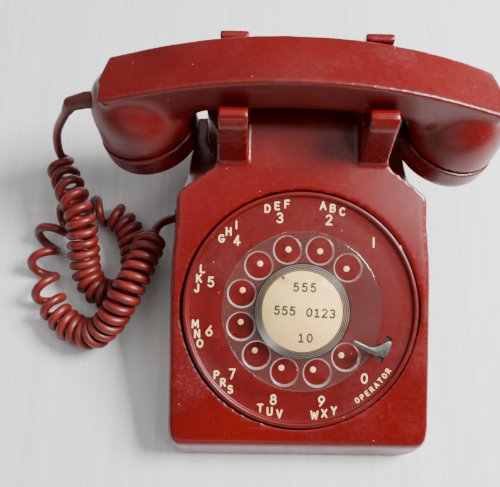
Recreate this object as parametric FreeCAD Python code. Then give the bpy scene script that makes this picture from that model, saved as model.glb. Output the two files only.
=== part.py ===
"""Desk telephone with a rotary dial, a lift-off handset and a coiled handset cord.

Row frame in millimetres: +X to the user's right, -Y towards the user, +Z up.
The origin lies on the table, under the middle of the housing.
"""
import FreeCAD, Part
import math
import os

V = FreeCAD.Vector

# ---------------------------------------------------------------- driving dimensions
TILT = 18.0              # slope of the dial face, degrees from level
DIAL_Y = -34.5           # dial centre
DIAL_Z = 51.4
BODY_FRONT = -115.5      # housing outline at its foot
BODY_REAR = 115.5
BODY_HALF = 81.0
BODY_TOP_HALF = 74.5
CORNER_FRONT = 14.0
CORNER_REAR = 24.0
RIM_Z = 3.0              # lower rim of the housing
WALL = 3.0
FACE_FRONT_V = -80.0     # front end of the sloping face, along the face from the dial centre
FACE_REAR_V = 65.0       # where the face's rear corners start
SHOULDER_Y = 54.0        # foot of the slope behind the face's rear corners
SHOULDER_Z = 43.0
NECK_V = 83.0            # where the face meets the neck
NECK_HALF = 50.5
NECK_REAR_HALF = 57.5    # the neck flares behind the front horns
SADDLE_Z = 84.5          # low middle of the cradle
PAD_Z = 92.0             # raised seats under the handle
HORN_IN = 33.0           # cradle horns, from the middle plane
HORN_OUT = 49.5
HORN_FRONT_TOP = 114.0
HORN_REAR_TOP = 115.0
HORN_FRONT_Y = 63.9      # faces of the horns towards the handle
HORN_REAR_Y = 105.7
FOOT_H = 4.0
FOOT_R = 7.0
PLATE_T = 1.5

RING_R = 69.2            # numbered ring
RING_GAP = 0.7           # shadow gap between ring and housing
WHEEL_R = 46.1           # clear finger wheel
WHEEL_TOP = 10.2         # above the ring's plane
WHEEL_T = 3.4
HOLE_CIRCLE = 36.1
HOLE_R = 7.5
HOLE_COUNT = 10
HOLE_FIRST = 44.5        # degrees, hole of digit 1
HOLE_STEP = 30.0
CARD_R = 23.8
WINDOW_R = 27.7
SHAFT_R = 4.0
RUN = 0.05               # radial clearance of a running fit
MODULE = 0.8             # dial gears
MAIN_TEETH = 60
PULSE_TEETH = 12
GOV_TEETH = 10

HANDSET_X = -1.3         # middle of the handle's back
HANDSET_Y = 87.2
HANDSET_Z = 124.0
HANDSET_YAW = -1.3
HANDSET_LEAN = -12.0
BACK_R = 301.0           # radius of the arched back
HANDLE_HALF = 111.0      # half length of the handle's back
HANDLE_W = 36.0
HANDLE_H = 25.5
HANDLE_DRAFT = 2.0
CUP_X = 93.0             # centres of ear and mouth pieces
CUP_DROP = 57.0
CUP_TILT = 12.0
CUP_R = 29.2
CAP_R = 30.6
CAP_H = 16.0
CUP_WALL = 3.0
DOME_H = 34.0            # rise of the rounded back of each cup
WEB_R = 14.0             # fillet between a cup and the underside of the handle
WEB_HALF = 14.5

PLUNGER_X = 41.5
PLUNGER_R = 3.5

GONG_R = 24.5
GONG_X = 29.5
GONG_Y = 76.0
GONG_Z = 25.0
CLAPPER_Y = 40.0
CLAPPER_PIN_R = 1.5
COIL_R = 6.5             # bell coils
COIL_X = 12.0
VOLUME_R = 12.0          # edge wheel for the bell's loudness
VOLUME_T = 3.0
VOLUME_Z = 13.0
VOLUME_NOTCHES = 24
VOLUME_PIN_R = 2.0
VOLUME_EAR_IN = 4.5      # ears of its bracket, from the wheel's middle
VOLUME_EAR_OUT = 7.0

WIRE_D = 5.7             # the cord itself
COIL_D = 20.6            # outer diameter of its coiled stretch
INLET = (0.4 - BODY_HALF, 36.0, 13.0)

# Route of the cord, chosen by hand: straight lead, coiled stretch and tail.
# It is drawn for a housing of this half width, and moves out with the housing's side.
ROUTE_HALF = 81.0


def beside(points):
    return [(x + ROUTE_HALF - BODY_HALF, y, z) for x, y, z in points]


COIL = beside([
    (-159.5, 73.5, 25.5), (-156.5, 62.5, 23.5), (-150.0, 50.0, 30.5), (-143.0, 37.0, 33.8),
    (-138.8, 23.5, 30.5), (-138.5, 9.5, 22.5), (-137.8, -3.0, 13.5), (-131.5, -15.0, 10.6),
    (-119.0, -19.5, 10.6), (-108.5, -13.5, 10.6), (-105.0, -1.5, 10.6), (-106.5, 12.5, 10.6),
    (-110.5, 25.5, 10.6), (-120.0, 36.5, 10.6), (-133.5, 42.5, 10.6), (-148.5, 41.0, 10.6),
    (-160.5, 32.5, 10.6), (-167.0, 19.0, 10.6), (-168.0, 2.0, 10.6), (-163.5, -15.0, 10.6),
    (-155.0, -30.5, 10.6), (-142.5, -41.5, 10.6), (-128.5, -45.5, 14.5), (-117.5, -39.5, 23.5),
    (-109.5, -28.0, 31.5), (-102.5, -14.0, 33.5), (-97.0, 2.0, 32.5), (-93.5, 17.0, 27.0)])
LEAD = [(HANDSET_X - 141.0, 80.5, 76.0), (HANDSET_X - 147.5, 81.0, 64.0)]
LEAD += beside([(-155.5, 81.5, 50.5), (-159.5, 80.0, 37.0)]) + [COIL[0]]
TAIL = [COIL[-1]] + beside([(-91.5, 25.5, 23.8), (-88.0, 32.0, 17.5)]) + [INLET]
COIL_CUTS = (4, 8, 14, 21)   # the coiled stretch is drawn in pieces that meet halfway to the next point

SIN = math.sin(math.radians(TILT))
COS = math.cos(math.radians(TILT))
DIAL_AT = FreeCAD.Placement(V(0, DIAL_Y, DIAL_Z), FreeCAD.Rotation(V(1, 0, 0), TILT))
YAW = FreeCAD.Rotation(V(0, 0, 1), HANDSET_YAW)
LEAN = FreeCAD.Rotation(V(1, 0, 0), HANDSET_LEAN)
HANDSET_AT = FreeCAD.Placement(V(HANDSET_X, HANDSET_Y, HANDSET_Z), YAW.multiply(LEAN))


def export(name, shape):
    os.makedirs("parts", exist_ok=True)
    shape.exportStep("parts/" + name + ".step")
    print(name, "solids", len(shape.Solids), "volume", round(shape.Volume, 1), "valid", shape.isValid())


def placed(shape, placement):
    moved = shape.copy()
    moved.Placement = placement.multiply(moved.Placement)
    return moved


def box(x0, x1, y0, y1, z0, z1):
    return Part.makeBox(x1 - x0, y1 - y0, z1 - z0, V(x0, y0, z0))


def rod(radius, start, end):
    start, end = V(*start), V(*end)
    return Part.makeCylinder(radius, start.distanceToPoint(end), start, end - start)


def disc(radius, low, high, x=0.0, y=0.0):
    return Part.makeCylinder(radius, high - low, V(x, y, low))


def turned(profile):
    """Solid of revolution about Z from (radius, height) points."""
    points = [V(r, 0, z) for r, z in profile]
    face = Part.Face(Part.makePolygon(points + points[:1]))
    return face.revolve(V(0, 0, 0), V(0, 0, 1), 360)


def rounded(points, radii):
    """Closed wire through corner points, each corner rounded by its own radius."""
    edges, starts, ends = [], [], []
    count = len(points)
    for i, corner in enumerate(points):
        before = (points[i - 1] - corner).normalize()
        after = (points[(i + 1) % count] - corner).normalize()
        radius = radii[i]
        if radius <= 0:
            starts.append(corner)
            ends.append(corner)
            edges.append(None)
            continue
        half = before.getAngle(after) / 2
        back = radius / math.tan(half)
        middle = corner + (before + after).normalize() * (radius / math.sin(half) - radius)
        starts.append(corner + before * back)
        ends.append(corner + after * back)
        edges.append(Part.Arc(starts[-1], middle, ends[-1]).toShape())
    wire = []
    for i in range(count):
        if edges[i] is not None:
            wire.append(edges[i])
        following = (i + 1) % count
        if ends[i].distanceToPoint(starts[following]) > 1e-6:
            wire.append(Part.LineSegment(ends[i], starts[following]).toShape())
    return Part.Wire(wire)


def tube(points, radius, label, cut_start=False, cut_end=False):
    """Round bar along straight runs joined by the largest fair arcs.

    An end run that was cut at its middle still counts with its whole length.
    """
    nodes = [V(*p) for p in points]
    edges, start = [], nodes[0]
    radii = []
    runs = [a.distanceToPoint(b) for a, b in zip(nodes, nodes[1:])]
    runs[0] *= 2 if cut_start else 1
    runs[-1] *= 2 if cut_end else 1
    for i, (before, corner, after) in enumerate(zip(nodes, nodes[1:], nodes[2:])):
        into = (corner - before).normalize()
        out = (after - corner).normalize()
        turn = into.getAngle(out)
        reach = 0.45 * min(runs[i], runs[i + 1])
        bend = reach / math.tan(turn / 2)
        radii.append(round(bend, 1))
        first, last = corner - into * reach, corner + out * reach
        inward = (out - into).normalize()
        middle = corner + inward * (bend / math.cos(turn / 2) - bend)
        edges.append(Part.LineSegment(start, first).toShape())
        edges.append(Part.Arc(first, middle, last).toShape())
        start = last
    edges.append(Part.LineSegment(start, nodes[-1]).toShape())
    path = Part.Wire(edges)
    ring = Part.Wire(Part.makeCircle(radius, nodes[0], nodes[1] - nodes[0]))
    solid = path.makePipeShell([ring], True, False)
    print(label, "length", round(path.Length, 1), "radii", radii,
          "volume ratio", round(solid.Volume / (math.pi * radius ** 2 * path.Length), 4))
    return solid


def gear(teeth, low, high, bore, phase=0.0):
    """Spur gear in the dial's frame, with slim teeth that leave backlash."""
    pitch = MODULE * teeth / 2
    root, tip = pitch - 1.15 * MODULE, pitch + 0.8 * MODULE
    step = 360.0 / teeth
    points = []
    for k in range(teeth):
        for radius, share in ((root, -0.27), (pitch, -0.19), (tip, -0.07),
                              (tip, 0.07), (pitch, 0.19), (root, 0.27)):
            angle = math.radians(phase + (k + share) * step)
            points.append(V(radius * math.cos(angle), radius * math.sin(angle), low))
    blank = Part.Face(Part.makePolygon(points + points[:1])).extrude(V(0, 0, high - low))
    return blank.cut(disc(bore, low, high))


# ---------------------------------------------------------------- housing and base
def face_point(v, n=0.0):
    """(Y, Z) of a point v up the sloping face and n above it."""
    return DIAL_Y + v * COS - n * SIN, DIAL_Z + v * SIN + n * COS


def outline(z, half_front, half_mid, half_rear, inset):
    points = [V(-half_front + inset, BODY_FRONT + inset, z), V(half_front - inset, BODY_FRONT + inset, z),
              V(half_mid - inset, 0, z), V(half_rear - inset, BODY_REAR - inset, z),
              V(-half_rear + inset, BODY_REAR - inset, z), V(-half_mid + inset, 0, z)]
    front, rear = CORNER_FRONT - inset, CORNER_REAR - inset
    return rounded(points, [front, front, 300.0, rear, rear, 300.0])


def side_prism(profile, radii, half):
    points = [V(-half, y, z) for y, z in profile]
    return Part.Face(rounded(points, radii)).extrude(V(2 * half, 0, 0))


def body_solid(inset):
    """Outer form of the housing without its horns, drawn in by inset."""
    low = RIM_Z - (1 if inset else 0)
    tall = SADDLE_Z + 5
    side = Part.makeLoft([outline(low, BODY_HALF - 3, BODY_HALF, BODY_HALF - 13, inset),
                          outline(tall, BODY_TOP_HALF - 2, BODY_TOP_HALF, BODY_TOP_HALF - 16, inset)], True)
    front_top = face_point(FACE_FRONT_V, -inset)
    corner = face_point(FACE_REAR_V, -inset)
    lower = side_prism([(BODY_FRONT - 5, low), front_top, corner, (SHOULDER_Y, SHOULDER_Z + 3 - inset),
                        (BODY_REAR - 12 - inset, SHOULDER_Z - inset), (BODY_REAR + 5 - inset, low)],
                       [0, 7 - inset, 10, 14, 8, 0], BODY_HALF + 5)
    front_wall = side_prism([(BODY_FRONT + inset, low), (face_point(FACE_FRONT_V)[0] + inset, 26.7),
                             (0, 200), (BODY_REAR + 5, low)], [0, 0, 0, 0], BODY_HALF + 5)
    main = side.common(lower).common(front_wall)
    neck_foot = face_point(NECK_V, -inset)
    back = BODY_REAR - 3.5 - inset
    neck = side_prism([(0, low), face_point(20, -inset), neck_foot, (72 - inset / 2, SADDLE_Z - inset),
                       (back - 2, SADDLE_Z - inset), (BODY_REAR - inset, low)], [0, 0, 40, 14, 6 - inset, 0],
                      BODY_HALF)
    corner_y, foot_y = face_point(FACE_REAR_V)[0], face_point(NECK_V)[0]
    wide, slim, broad = BODY_TOP_HALF - inset, NECK_HALF - inset, NECK_REAR_HALF - inset
    plan = [V(-wide, corner_y - 45, low), V(-wide, corner_y + 3, low), V(-slim, foot_y + 2, low),
            V(-slim, HORN_FRONT_Y + 2, low), V(-broad, HORN_FRONT_Y + 14, low), V(-broad, back, low),
            V(broad, back, low), V(broad, HORN_FRONT_Y + 14, low), V(slim, HORN_FRONT_Y + 2, low),
            V(slim, foot_y + 2, low),
            V(wide, corner_y + 3, low), V(wide, corner_y - 45, low)]
    radii = [0, 6, 8, 8, 8, 10 - inset, 10 - inset, 8, 8, 8, 6, 0]
    waist = Part.Face(rounded(plan, radii)).extrude(V(0, 0, 90))
    return main.fuse(neck.common(waist)).removeSplitter()


def horns():
    """Seats and paired horns of the cradle, one side per loop."""
    foot_y = face_point(NECK_V)[0]
    shapes = []
    for sign in (-1, 1):
        x0 = min(sign * HORN_IN, sign * HORN_OUT)
        profile = [(foot_y + 2, SADDLE_Z - 9), (HORN_FRONT_Y - 11, HORN_FRONT_TOP - 6),
                   (HORN_FRONT_Y - 7, HORN_FRONT_TOP), (HORN_FRONT_Y, HORN_FRONT_TOP), (HORN_FRONT_Y, PAD_Z),
                   (HORN_REAR_Y, PAD_Z), (HORN_REAR_Y, HORN_REAR_TOP), (112.4, HORN_REAR_TOP),
                   (112.4, SADDLE_Z - 9)]
        points = [V(x0, y, z) for y, z in profile]
        wire = rounded(points, [0, 6, 3, 3, 4, 4, 3, 3, 0])
        shapes.append(Part.Face(wire).extrude(V(HORN_OUT - HORN_IN, 0, 0)))
    return shapes


def housing():
    shell = body_solid(0)
    for horn in horns():
        shell = shell.fuse(horn)
    shell = shell.cut(body_solid(WALL))
    opening = placed(disc(RING_R + RING_GAP, -25, 30), DIAL_AT)
    shell = shell.cut(opening)
    for x in (-PLUNGER_X, PLUNGER_X):
        shell = shell.cut(disc(PLUNGER_R + RUN, SADDLE_Z - 12, PAD_Z + 5, x, HANDSET_Y))
    recess = box(-29, 29, 96, BODY_REAR + 10, 62, SADDLE_Z + 5)
    pocket = box(-32, 32, 93, 112.2, 59, SADDLE_Z - 0.5).common(body_solid(0))
    shell = shell.fuse(pocket).cut(recess)
    for x, y in BOSSES:
        shell = shell.fuse(disc(4.5, FOOT_H + PLATE_T, SHOULDER_Z, x, y)).cut(disc(2.1, 0, 22, x, y))
    shell = shell.cut(rod(INLET_R, (INLET[0] - 10, INLET[1], INLET[2]), (INLET[0] + 10, INLET[1], INLET[2])))
    shell = shell.cut(box(-5.0, 5.0, BODY_REAR - 12, BODY_REAR + 5, 1, 14))
    return shell.removeSplitter()


BOSSES = ((-62.0, 72.0), (62.0, 72.0))
INLET_R = 5.0
FEET = ((-58.0, -92.0), (58.0, -92.0), (-50.0, 90.0), (50.0, 90.0))
WHEEL_SLOT = (52.0, 36.0)


def base_plate():
    wire = outline(FOOT_H, BODY_HALF - 3, BODY_HALF, BODY_HALF - 13, WALL + 1.2)
    plate = Part.Face(wire).extrude(V(0, 0, PLATE_T))
    for x, y in BOSSES:
        plate = plate.cut(disc(2.4, 0, 10, x, y))
    x, y = WHEEL_SLOT
    return plate.cut(box(x - 3.5, x + 3.5, y - 12, y + 12, 0, 10))


def feet():
    return Part.makeCompound([turned([(0, 0), (FOOT_R - 0.8, 0), (FOOT_R, 0.8), (FOOT_R, FOOT_H), (0, FOOT_H)])
                              .translated(V(x, y, 0)) for x, y in FEET])


def housing_screws():
    shapes = []
    for x, y in BOSSES:
        head = disc(4.0, FOOT_H - 2.2, FOOT_H, x, y)
        slot = box(x - 5, x + 5, y - 0.6, y + 0.6, 0, FOOT_H - 1.2)
        shapes.append(head.cut(slot).fuse(disc(2.0, FOOT_H, 20, x, y)))
    return Part.makeCompound(shapes)


def cord_grommet():
    x, y, z = INLET
    flange = rod(INLET_R + 1.6, (x, y, z), (x + 1.5, y, z))
    return flange.fuse(rod(INLET_R - 0.1, (x + 1.4, y, z), (x + 9.0, y, z)))


def line_gland():
    """Socket for a line cord, in the rear edge of the housing."""
    block = box(-4.6, 4.6, BODY_REAR - 11, BODY_REAR - 0.2, 5.6, 13.6)
    return block.cut(rod(2.6, (0, BODY_REAR - 9, 9.6), (0, BODY_REAR + 1, 9.6)))


# ---------------------------------------------------------------- circuit and bell
def network():
    x0, x1, y0, y1, z0, z1 = -60.0, -14.0, -14.0, 22.0, FOOT_H + PLATE_T, 24.0
    block = box(x0, x1, y0, y1, z0, z1)
    screws = []
    for i in range(6):
        for y in (y0 + 5, y1 - 5):
            x = x0 + 5 + i * 7.2
            head = disc(2.4, z1, z1 + 1.8, x, y).cut(box(x - 3, x + 3, y - 0.4, y + 0.4, z1 + 1, z1 + 3))
            screws.append(head)
    return block, Part.makeCompound(screws)


def ringer():
    """Frame, coil and armature stop of the bell, between the two gongs."""
    z0 = FOOT_H + PLATE_T
    frame = box(-20, 20, 22.5, 25, z0, 40).fuse(box(-20, 20, 22.5, 52, z0, z0 + 2))
    frame = frame.fuse(disc(2.5, z0 + 2, GONG_Z + 4, 0, CLAPPER_Y))
    frame = frame.cut(disc(CLAPPER_PIN_R, 15, 60, 0, CLAPPER_Y))
    coils = [rod(COIL_R, (x, 26, 16), (x, 50, 16)) for x in (-COIL_X, COIL_X)]
    return frame, Part.makeCompound(coils)


def clapper():
    z = GONG_Z + 8
    pin = disc(CLAPPER_PIN_R - RUN, 17, z + 4, 0, CLAPPER_Y)
    arm = box(-1.2, 1.2, CLAPPER_Y, GONG_Y, z - 0.6, z + 0.6)
    ball = Part.makeSphere(3.0, V(0, GONG_Y, z))
    hub = disc(3.2, GONG_Z + 4.4, z + 3, 0, CLAPPER_Y)
    return pin.fuse(arm).fuse(ball).fuse(hub)


def armature():
    bar = box(1 - COIL_X, COIL_X - 1, CLAPPER_Y - 2.6, CLAPPER_Y + 2.6, GONG_Z + 11.05, GONG_Z + 13)
    return bar.cut(disc(CLAPPER_PIN_R - RUN, GONG_Z, GONG_Z + 20, 0, CLAPPER_Y))


def gong(sign):
    x = sign * GONG_X
    shell = turned([(3, 14), (3, 11.5), (GONG_R - 9, 11.5), (GONG_R - 1.5, 4), (GONG_R - 1.5, 0), (GONG_R, 0),
                    (GONG_R, 5), (GONG_R - 8, 14)])
    return shell.translated(V(x, GONG_Y, GONG_Z))


def gong_posts(sign):
    x = sign * GONG_X
    z0 = FOOT_H + PLATE_T
    post = disc(5, z0, GONG_Z + 11.4, x, GONG_Y).fuse(disc(2.9, z0, GONG_Z + 14, x, GONG_Y))
    post = post.fuse(disc(6, GONG_Z + 14.05, GONG_Z + 16.5, x, GONG_Y))
    return post.fuse(disc(2.0, GONG_Z, GONG_Z + 15, x, GONG_Y))


def volume_wheel():
    x, y = WHEEL_SLOT
    z = VOLUME_Z
    wheel = rod(VOLUME_R, (x - VOLUME_T / 2, y, z), (x + VOLUME_T / 2, y, z))
    for k in range(VOLUME_NOTCHES):
        dy, dz = polar(VOLUME_R, 360 / VOLUME_NOTCHES * k)
        wheel = wheel.cut(rod(0.7, (x - VOLUME_T, y + dy, z + dz), (x + VOLUME_T, y + dy, z + dz)))
    return wheel.fuse(rod(VOLUME_PIN_R - RUN, (x - VOLUME_EAR_OUT, y, z), (x + VOLUME_EAR_OUT, y, z)))


def volume_bracket():
    x, y = WHEEL_SLOT
    z0 = FOOT_H + PLATE_T
    top = VOLUME_Z + 5
    ears = box(x - VOLUME_EAR_OUT, x - VOLUME_EAR_IN, y - 5, y + 5, z0, top)
    ears = ears.fuse(box(x + VOLUME_EAR_IN, x + VOLUME_EAR_OUT, y - 5, y + 5, z0, top))
    return ears.cut(rod(VOLUME_PIN_R, (x - 10, y, VOLUME_Z), (x + 10, y, VOLUME_Z)))


# ---------------------------------------------------------------- hook switch
LEVER_Y = 66.0
LEVER_Z = 70.0
LEVER_R = 2.0
LEVER_HALF = 47.0
SHELF_Z = 50.0           # underside of the bracket's shelf


def plunger(x):
    return disc(PLUNGER_R, 74, PAD_Z + 0.4, x, HANDSET_Y).fuse(disc(PLUNGER_R + 1.4, 72.2, 74, x, HANDSET_Y))


def hook_lever():
    bar = rod(LEVER_R - RUN, (-LEVER_HALF, LEVER_Y, LEVER_Z), (LEVER_HALF, LEVER_Y, LEVER_Z))
    for x in (-PLUNGER_X, PLUNGER_X):
        bar = bar.fuse(box(x - 3, x + 3, LEVER_Y, HANDSET_Y + 2, LEVER_Z - 0.8, LEVER_Z + 0.8))
    return bar


def hook_bracket():
    """Stand that carries the lever's pivot ears."""
    z0 = FOOT_H + PLATE_T
    front, low = LEVER_Y - 14, SHELF_Z
    shapes = box(-34, 34, front, front + 2, low, LEVER_Z - 6)
    for x in (-32, 29):
        shapes = shapes.fuse(box(x, x + 3, front, LEVER_Y + 4, low, LEVER_Z + 4))
    for x in (-LEVER_HALF, LEVER_HALF - 2.8):
        shapes = shapes.fuse(box(x, x + 2.8, front, front + 3, z0, low + 4))
    shapes = shapes.fuse(box(-LEVER_HALF, LEVER_HALF, front, front + 2, low, low + 4))
    return shapes.cut(rod(LEVER_R, (-60, LEVER_Y, LEVER_Z), (60, LEVER_Y, LEVER_Z)))


def hook_contacts():
    leaves = [box(-20, 20, LEVER_Y - 10 + 2.4 * k, LEVER_Y - 9.4 + 2.4 * k, 56, 64) for k in range(3)]
    block = box(-22, 22, LEVER_Y - 11.9, LEVER_Y - 3, 52, 56)
    return block.fuse(leaves[0]).fuse(leaves[1]).fuse(leaves[2])


# ---------------------------------------------------------------- dial, in the dial's own frame
FRAME_N = -2.6           # top of the dial's frame plate
GEAR_N = -16.0
REAR_N = -27.0
PULSE_AT = 200.0         # where the driven shafts stand round the main gear, degrees
GOV_AT = 320.0


def polar(radius, degrees):
    return radius * math.cos(math.radians(degrees)), radius * math.sin(math.radians(degrees))


PULSE_C = polar(MODULE * (MAIN_TEETH + PULSE_TEETH) / 2, PULSE_AT)
GOV_C = polar(MODULE * (MAIN_TEETH + GOV_TEETH) / 2, GOV_AT)
PILLARS = [polar(44.0, a) for a in (80.0, 200.0, 320.0)]


def number_ring():
    return turned([(SHAFT_R + 7, -2.4), (RING_R, -2.4), (RING_R, 1.2), (RING_R - 0.7, 2.0), (RING_R - 1.9, 2.0),
                   (RING_R - 3.0, 0.4), (RING_R - 8, 0.0), (SHAFT_R + 7, 0.0)])


def dial_frame():
    plate = disc(57, FRAME_N - 2, FRAME_N).fuse(disc(7.5, FRAME_N - 9, FRAME_N))
    plate = plate.cut(disc(SHAFT_R + RUN, -30, 5))
    for centre in (PULSE_C, GOV_C):
        plate = plate.cut(disc(1.5 + RUN, -30, 5, *centre))
    for x, y in PILLARS:
        plate = plate.fuse(disc(3, REAR_N, FRAME_N - 2, x, y))
    return plate


def rear_plate():
    plate = disc(49, REAR_N - 1.6, REAR_N)
    for centre in (PULSE_C, GOV_C):
        plate = plate.cut(disc(1.5 + RUN, REAR_N - 5, REAR_N + 1, *centre))
    return plate.cut(disc(SHAFT_R + RUN, REAR_N - 5, REAR_N + 1))


def dial_bracket(sign):
    """Leg that carries one side of the dial on the base plate."""
    y0, z0 = DIAL_Y, FOOT_H + PLATE_T
    x0, x1 = sorted((sign * 53.0, sign * 55.5))
    leg = box(x0, x1, y0 - 16, y0 + 16, z0, 80)
    foot = box(*sorted((sign * 53.0, sign * 66.0)), y0 - 16, y0 + 16, z0, z0 + 2)
    above = placed(box(-100, 100, -100, 100, FRAME_N - 2.0, 100), DIAL_AT)
    return leg.fuse(foot).cut(above)


def dial_shaft():
    shaft = disc(SHAFT_R, REAR_N - 1.6, WHEEL_TOP - 4.4)
    return shaft.fuse(disc(3.0, 5, WHEEL_TOP - 2.6))


def finger_wheel():
    low = WHEEL_TOP - WHEEL_T
    wheel = turned([(3.0, low - 5.6), (9, low - 5.6), (9, low), (WHEEL_R - 1, low), (WHEEL_R, low + 1),
                    (WHEEL_R, WHEEL_TOP - 1), (WHEEL_R - 1, WHEEL_TOP), (CARD_R + 0.3, WHEEL_TOP),
                    (CARD_R + 0.3, WHEEL_TOP - 1.6), (3.0, WHEEL_TOP - 1.6)])
    wheel = wheel.cut(disc(SHAFT_R, -5, WHEEL_TOP - 4.4))
    for k in range(HOLE_COUNT):
        x, y = polar(HOLE_CIRCLE, HOLE_FIRST + k * HOLE_STEP)
        wheel = wheel.cut(disc(HOLE_R, low - 1, WHEEL_TOP + 1, x, y))
    return wheel


def number_card():
    return disc(CARD_R, WHEEL_TOP - 1.2, WHEEL_TOP - 0.9)


def card_window():
    return turned([(0, WHEEL_TOP - 0.9), (CARD_R, WHEEL_TOP - 0.9), (CARD_R, WHEEL_TOP),
                   (WINDOW_R, WHEEL_TOP), (WINDOW_R, WHEEL_TOP + 0.5), (0, WHEEL_TOP + 0.5)])


def wheel_screw():
    return disc(5.0, WHEEL_TOP - 1.6, WHEEL_TOP - 1.2)


def main_gear():
    return gear(MAIN_TEETH, GEAR_N, GEAR_N + 2.5, SHAFT_R)


def mesh_phase(teeth, at):
    """Turns a driven gear so that one of its gaps faces a tooth of the main gear."""
    step = 360.0 / MAIN_TEETH
    ahead = at / step - round(at / step)
    return at + 180 + (0.5 + ahead) * 360.0 / teeth


def pulse_wheel():
    pinion = gear(PULSE_TEETH, GEAR_N - 0.4, GEAR_N + 2.9, 1.0, mesh_phase(PULSE_TEETH, PULSE_AT))
    shaft = disc(1.5, REAR_N - 1.6, FRAME_N)
    return pinion.fuse(shaft).translated(V(*PULSE_C, 0))


def pulse_cam():
    cam = disc(5.2, REAR_N + 2, REAR_N + 5).common(box(-5.2, 5.2, -3.4, 3.4, REAR_N, 0))
    return cam.cut(disc(1.5, REAR_N, 0)).translated(V(*PULSE_C, 0))


def governor():
    pinion = gear(GOV_TEETH, GEAR_N - 0.4, GEAR_N + 2.9, 1.0, mesh_phase(GOV_TEETH, GOV_AT))
    return pinion.fuse(disc(1.5, REAR_N - 1.6, FRAME_N)).translated(V(*GOV_C, 0))


def governor_weights():
    bar = box(-6.5, 6.5, -1.2, 1.2, REAR_N + 2.5, REAR_N + 5.5)
    ends = disc(8.2, REAR_N + 2.5, REAR_N + 5.5).cut(disc(5.8, REAR_N, 0)).cut(box(-9, 9, -3, 3, REAR_N, 0)
                                                                              .cut(box(-5.8, 5.8, -3, 3, REAR_N, 0)))
    weights = bar.fuse(ends.common(box(-9, 9, -5, 5, REAR_N, 0))).cut(disc(1.5, REAR_N, 0))
    return Part.makeCompound(weights.Solids).translated(V(*GOV_C, 0))


def governor_cup():
    return turned([(8.8, REAR_N + 0.05), (10.2, REAR_N + 0.05), (10.2, REAR_N + 6.5), (8.8, REAR_N + 6.5)]
                  ).translated(V(*GOV_C, 0))


def pulse_contacts():
    x, y = polar(40.0, PULSE_AT + 24)
    block = box(x - 4, x + 4, y - 3, y + 3, REAR_N + 0.05, REAR_N + 9)
    leaf = box(x - 3, x + 3, y + 3, y + 3.5, REAR_N + 1, REAR_N + 8)
    return block.fuse(leaf)


def main_spring():
    """Flat spiral return spring, seen as its three turns round the bearing."""
    rings = []
    for k in range(3):
        rings.append(turned([(10 + 3 * k, FRAME_N - 8), (10.8 + 3 * k, FRAME_N - 8),
                             (10.8 + 3 * k, FRAME_N - 3), (10 + 3 * k, FRAME_N - 3)]))
    spring = rings[0]
    for k, angle in ((1, 0), (2, 120)):
        x, y = polar(8.6 + 3 * k, angle)
        joint = box(-1.4, 1.4, -0.4, 0.4, FRAME_N - 8, FRAME_N - 3)
        joint.rotate(V(0, 0, 0), V(0, 0, 1), angle)
        joint.translate(V(x, y, 0))
        spring = spring.fuse(rings[k]).fuse(joint)
    return spring


STOP_ARM = [(29.0, -15.4), (32.3, -16.7), (36.9, -19.2), (41.4, -19.5), (45.2, -17.8), (48.2, -15.8),
            (50.6, -16.2), (50.6, -18.6), (48.3, -24.0), (45.7, -24.9), (39.6, -23.4), (33.5, -20.1),
            (28.3, -17.1)]
STOP_RADII = [0.8, 5, 6, 6, 5, 1.0, 1.0, 2, 1.2, 1.5, 6, 8, 0.8]
STOP_POST = (48.0, -21.3)        # where its post stands on the ring
STOP_TOP = WHEEL_TOP + 1.4
STOP_T = 1.4


def finger_stop():
    """Hooked arm over the finger holes, on a post whose foot stands on the ring."""
    points = [V(x, y, STOP_TOP) for x, y in STOP_ARM]
    arm = Part.Face(rounded(points, STOP_RADII)).extrude(V(0, 0, STOP_T))
    post = box(-1.0, 1.0, -2.2, 2.2, RUN, STOP_TOP + STOP_T / 2)
    foot = box(-1.6, 1.6, -2.8, 2.8, RUN, 1.0)
    post = post.fuse(foot)
    post.rotate(V(0, 0, 0), V(0, 0, 1), math.degrees(math.atan2(STOP_POST[1], STOP_POST[0])))
    return arm.fuse(post.translated(V(*STOP_POST, 0)))


def dial_screws():
    return Part.makeCompound([disc(2.2, REAR_N - 3.2, REAR_N - 1.6, x, y) for x, y in PILLARS])


# ---------------------------------------------------------------- handset, in its own frame
def arc_z(x):
    return math.sqrt(BACK_R ** 2 - x ** 2) - BACK_R


def handle_bar():
    """Arched bar with a flat back, swept along the arch."""
    half_top, half_low = HANDLE_W / 2, HANDLE_W / 2 - HANDLE_DRAFT
    swing = math.degrees(math.asin(HANDLE_HALF / BACK_R))
    points = [V(0, -half_top, 0), V(0, half_top, 0), V(0, half_low, -HANDLE_H), V(0, -half_low, -HANDLE_H)]
    section = Part.Face(rounded(points, [1.2, 1.2, 7, 7]))
    section.rotate(V(0, 0, -BACK_R), V(0, 1, 0), -swing)
    return section.revolve(V(0, 0, -BACK_R), V(0, 1, 0), 2 * swing)


def cup_frame(sign):
    turn = FreeCAD.Rotation(V(0, 1, 0), sign * CUP_TILT)
    return FreeCAD.Placement(V(sign * CUP_X, 0, -CUP_DROP), turn)


def web(sign):
    """Thick fillet in the inner corner between a cup and the handle."""
    corner_x = CUP_X - CUP_R
    edge_x = corner_x - WEB_R
    under = arc_z(edge_x) - HANDLE_H
    block = box(edge_x, corner_x + 6, -WEB_HALF, WEB_HALF, under - WEB_R, under + 3)
    hollow = rod(WEB_R, (edge_x, -WEB_HALF - 1, under - WEB_R), (edge_x, WEB_HALF + 1, under - WEB_R))
    fillet = block.cut(hollow)
    if sign < 0:
        fillet.rotate(V(0, 0, 0), V(0, 0, 1), 180)
    return fillet


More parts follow.
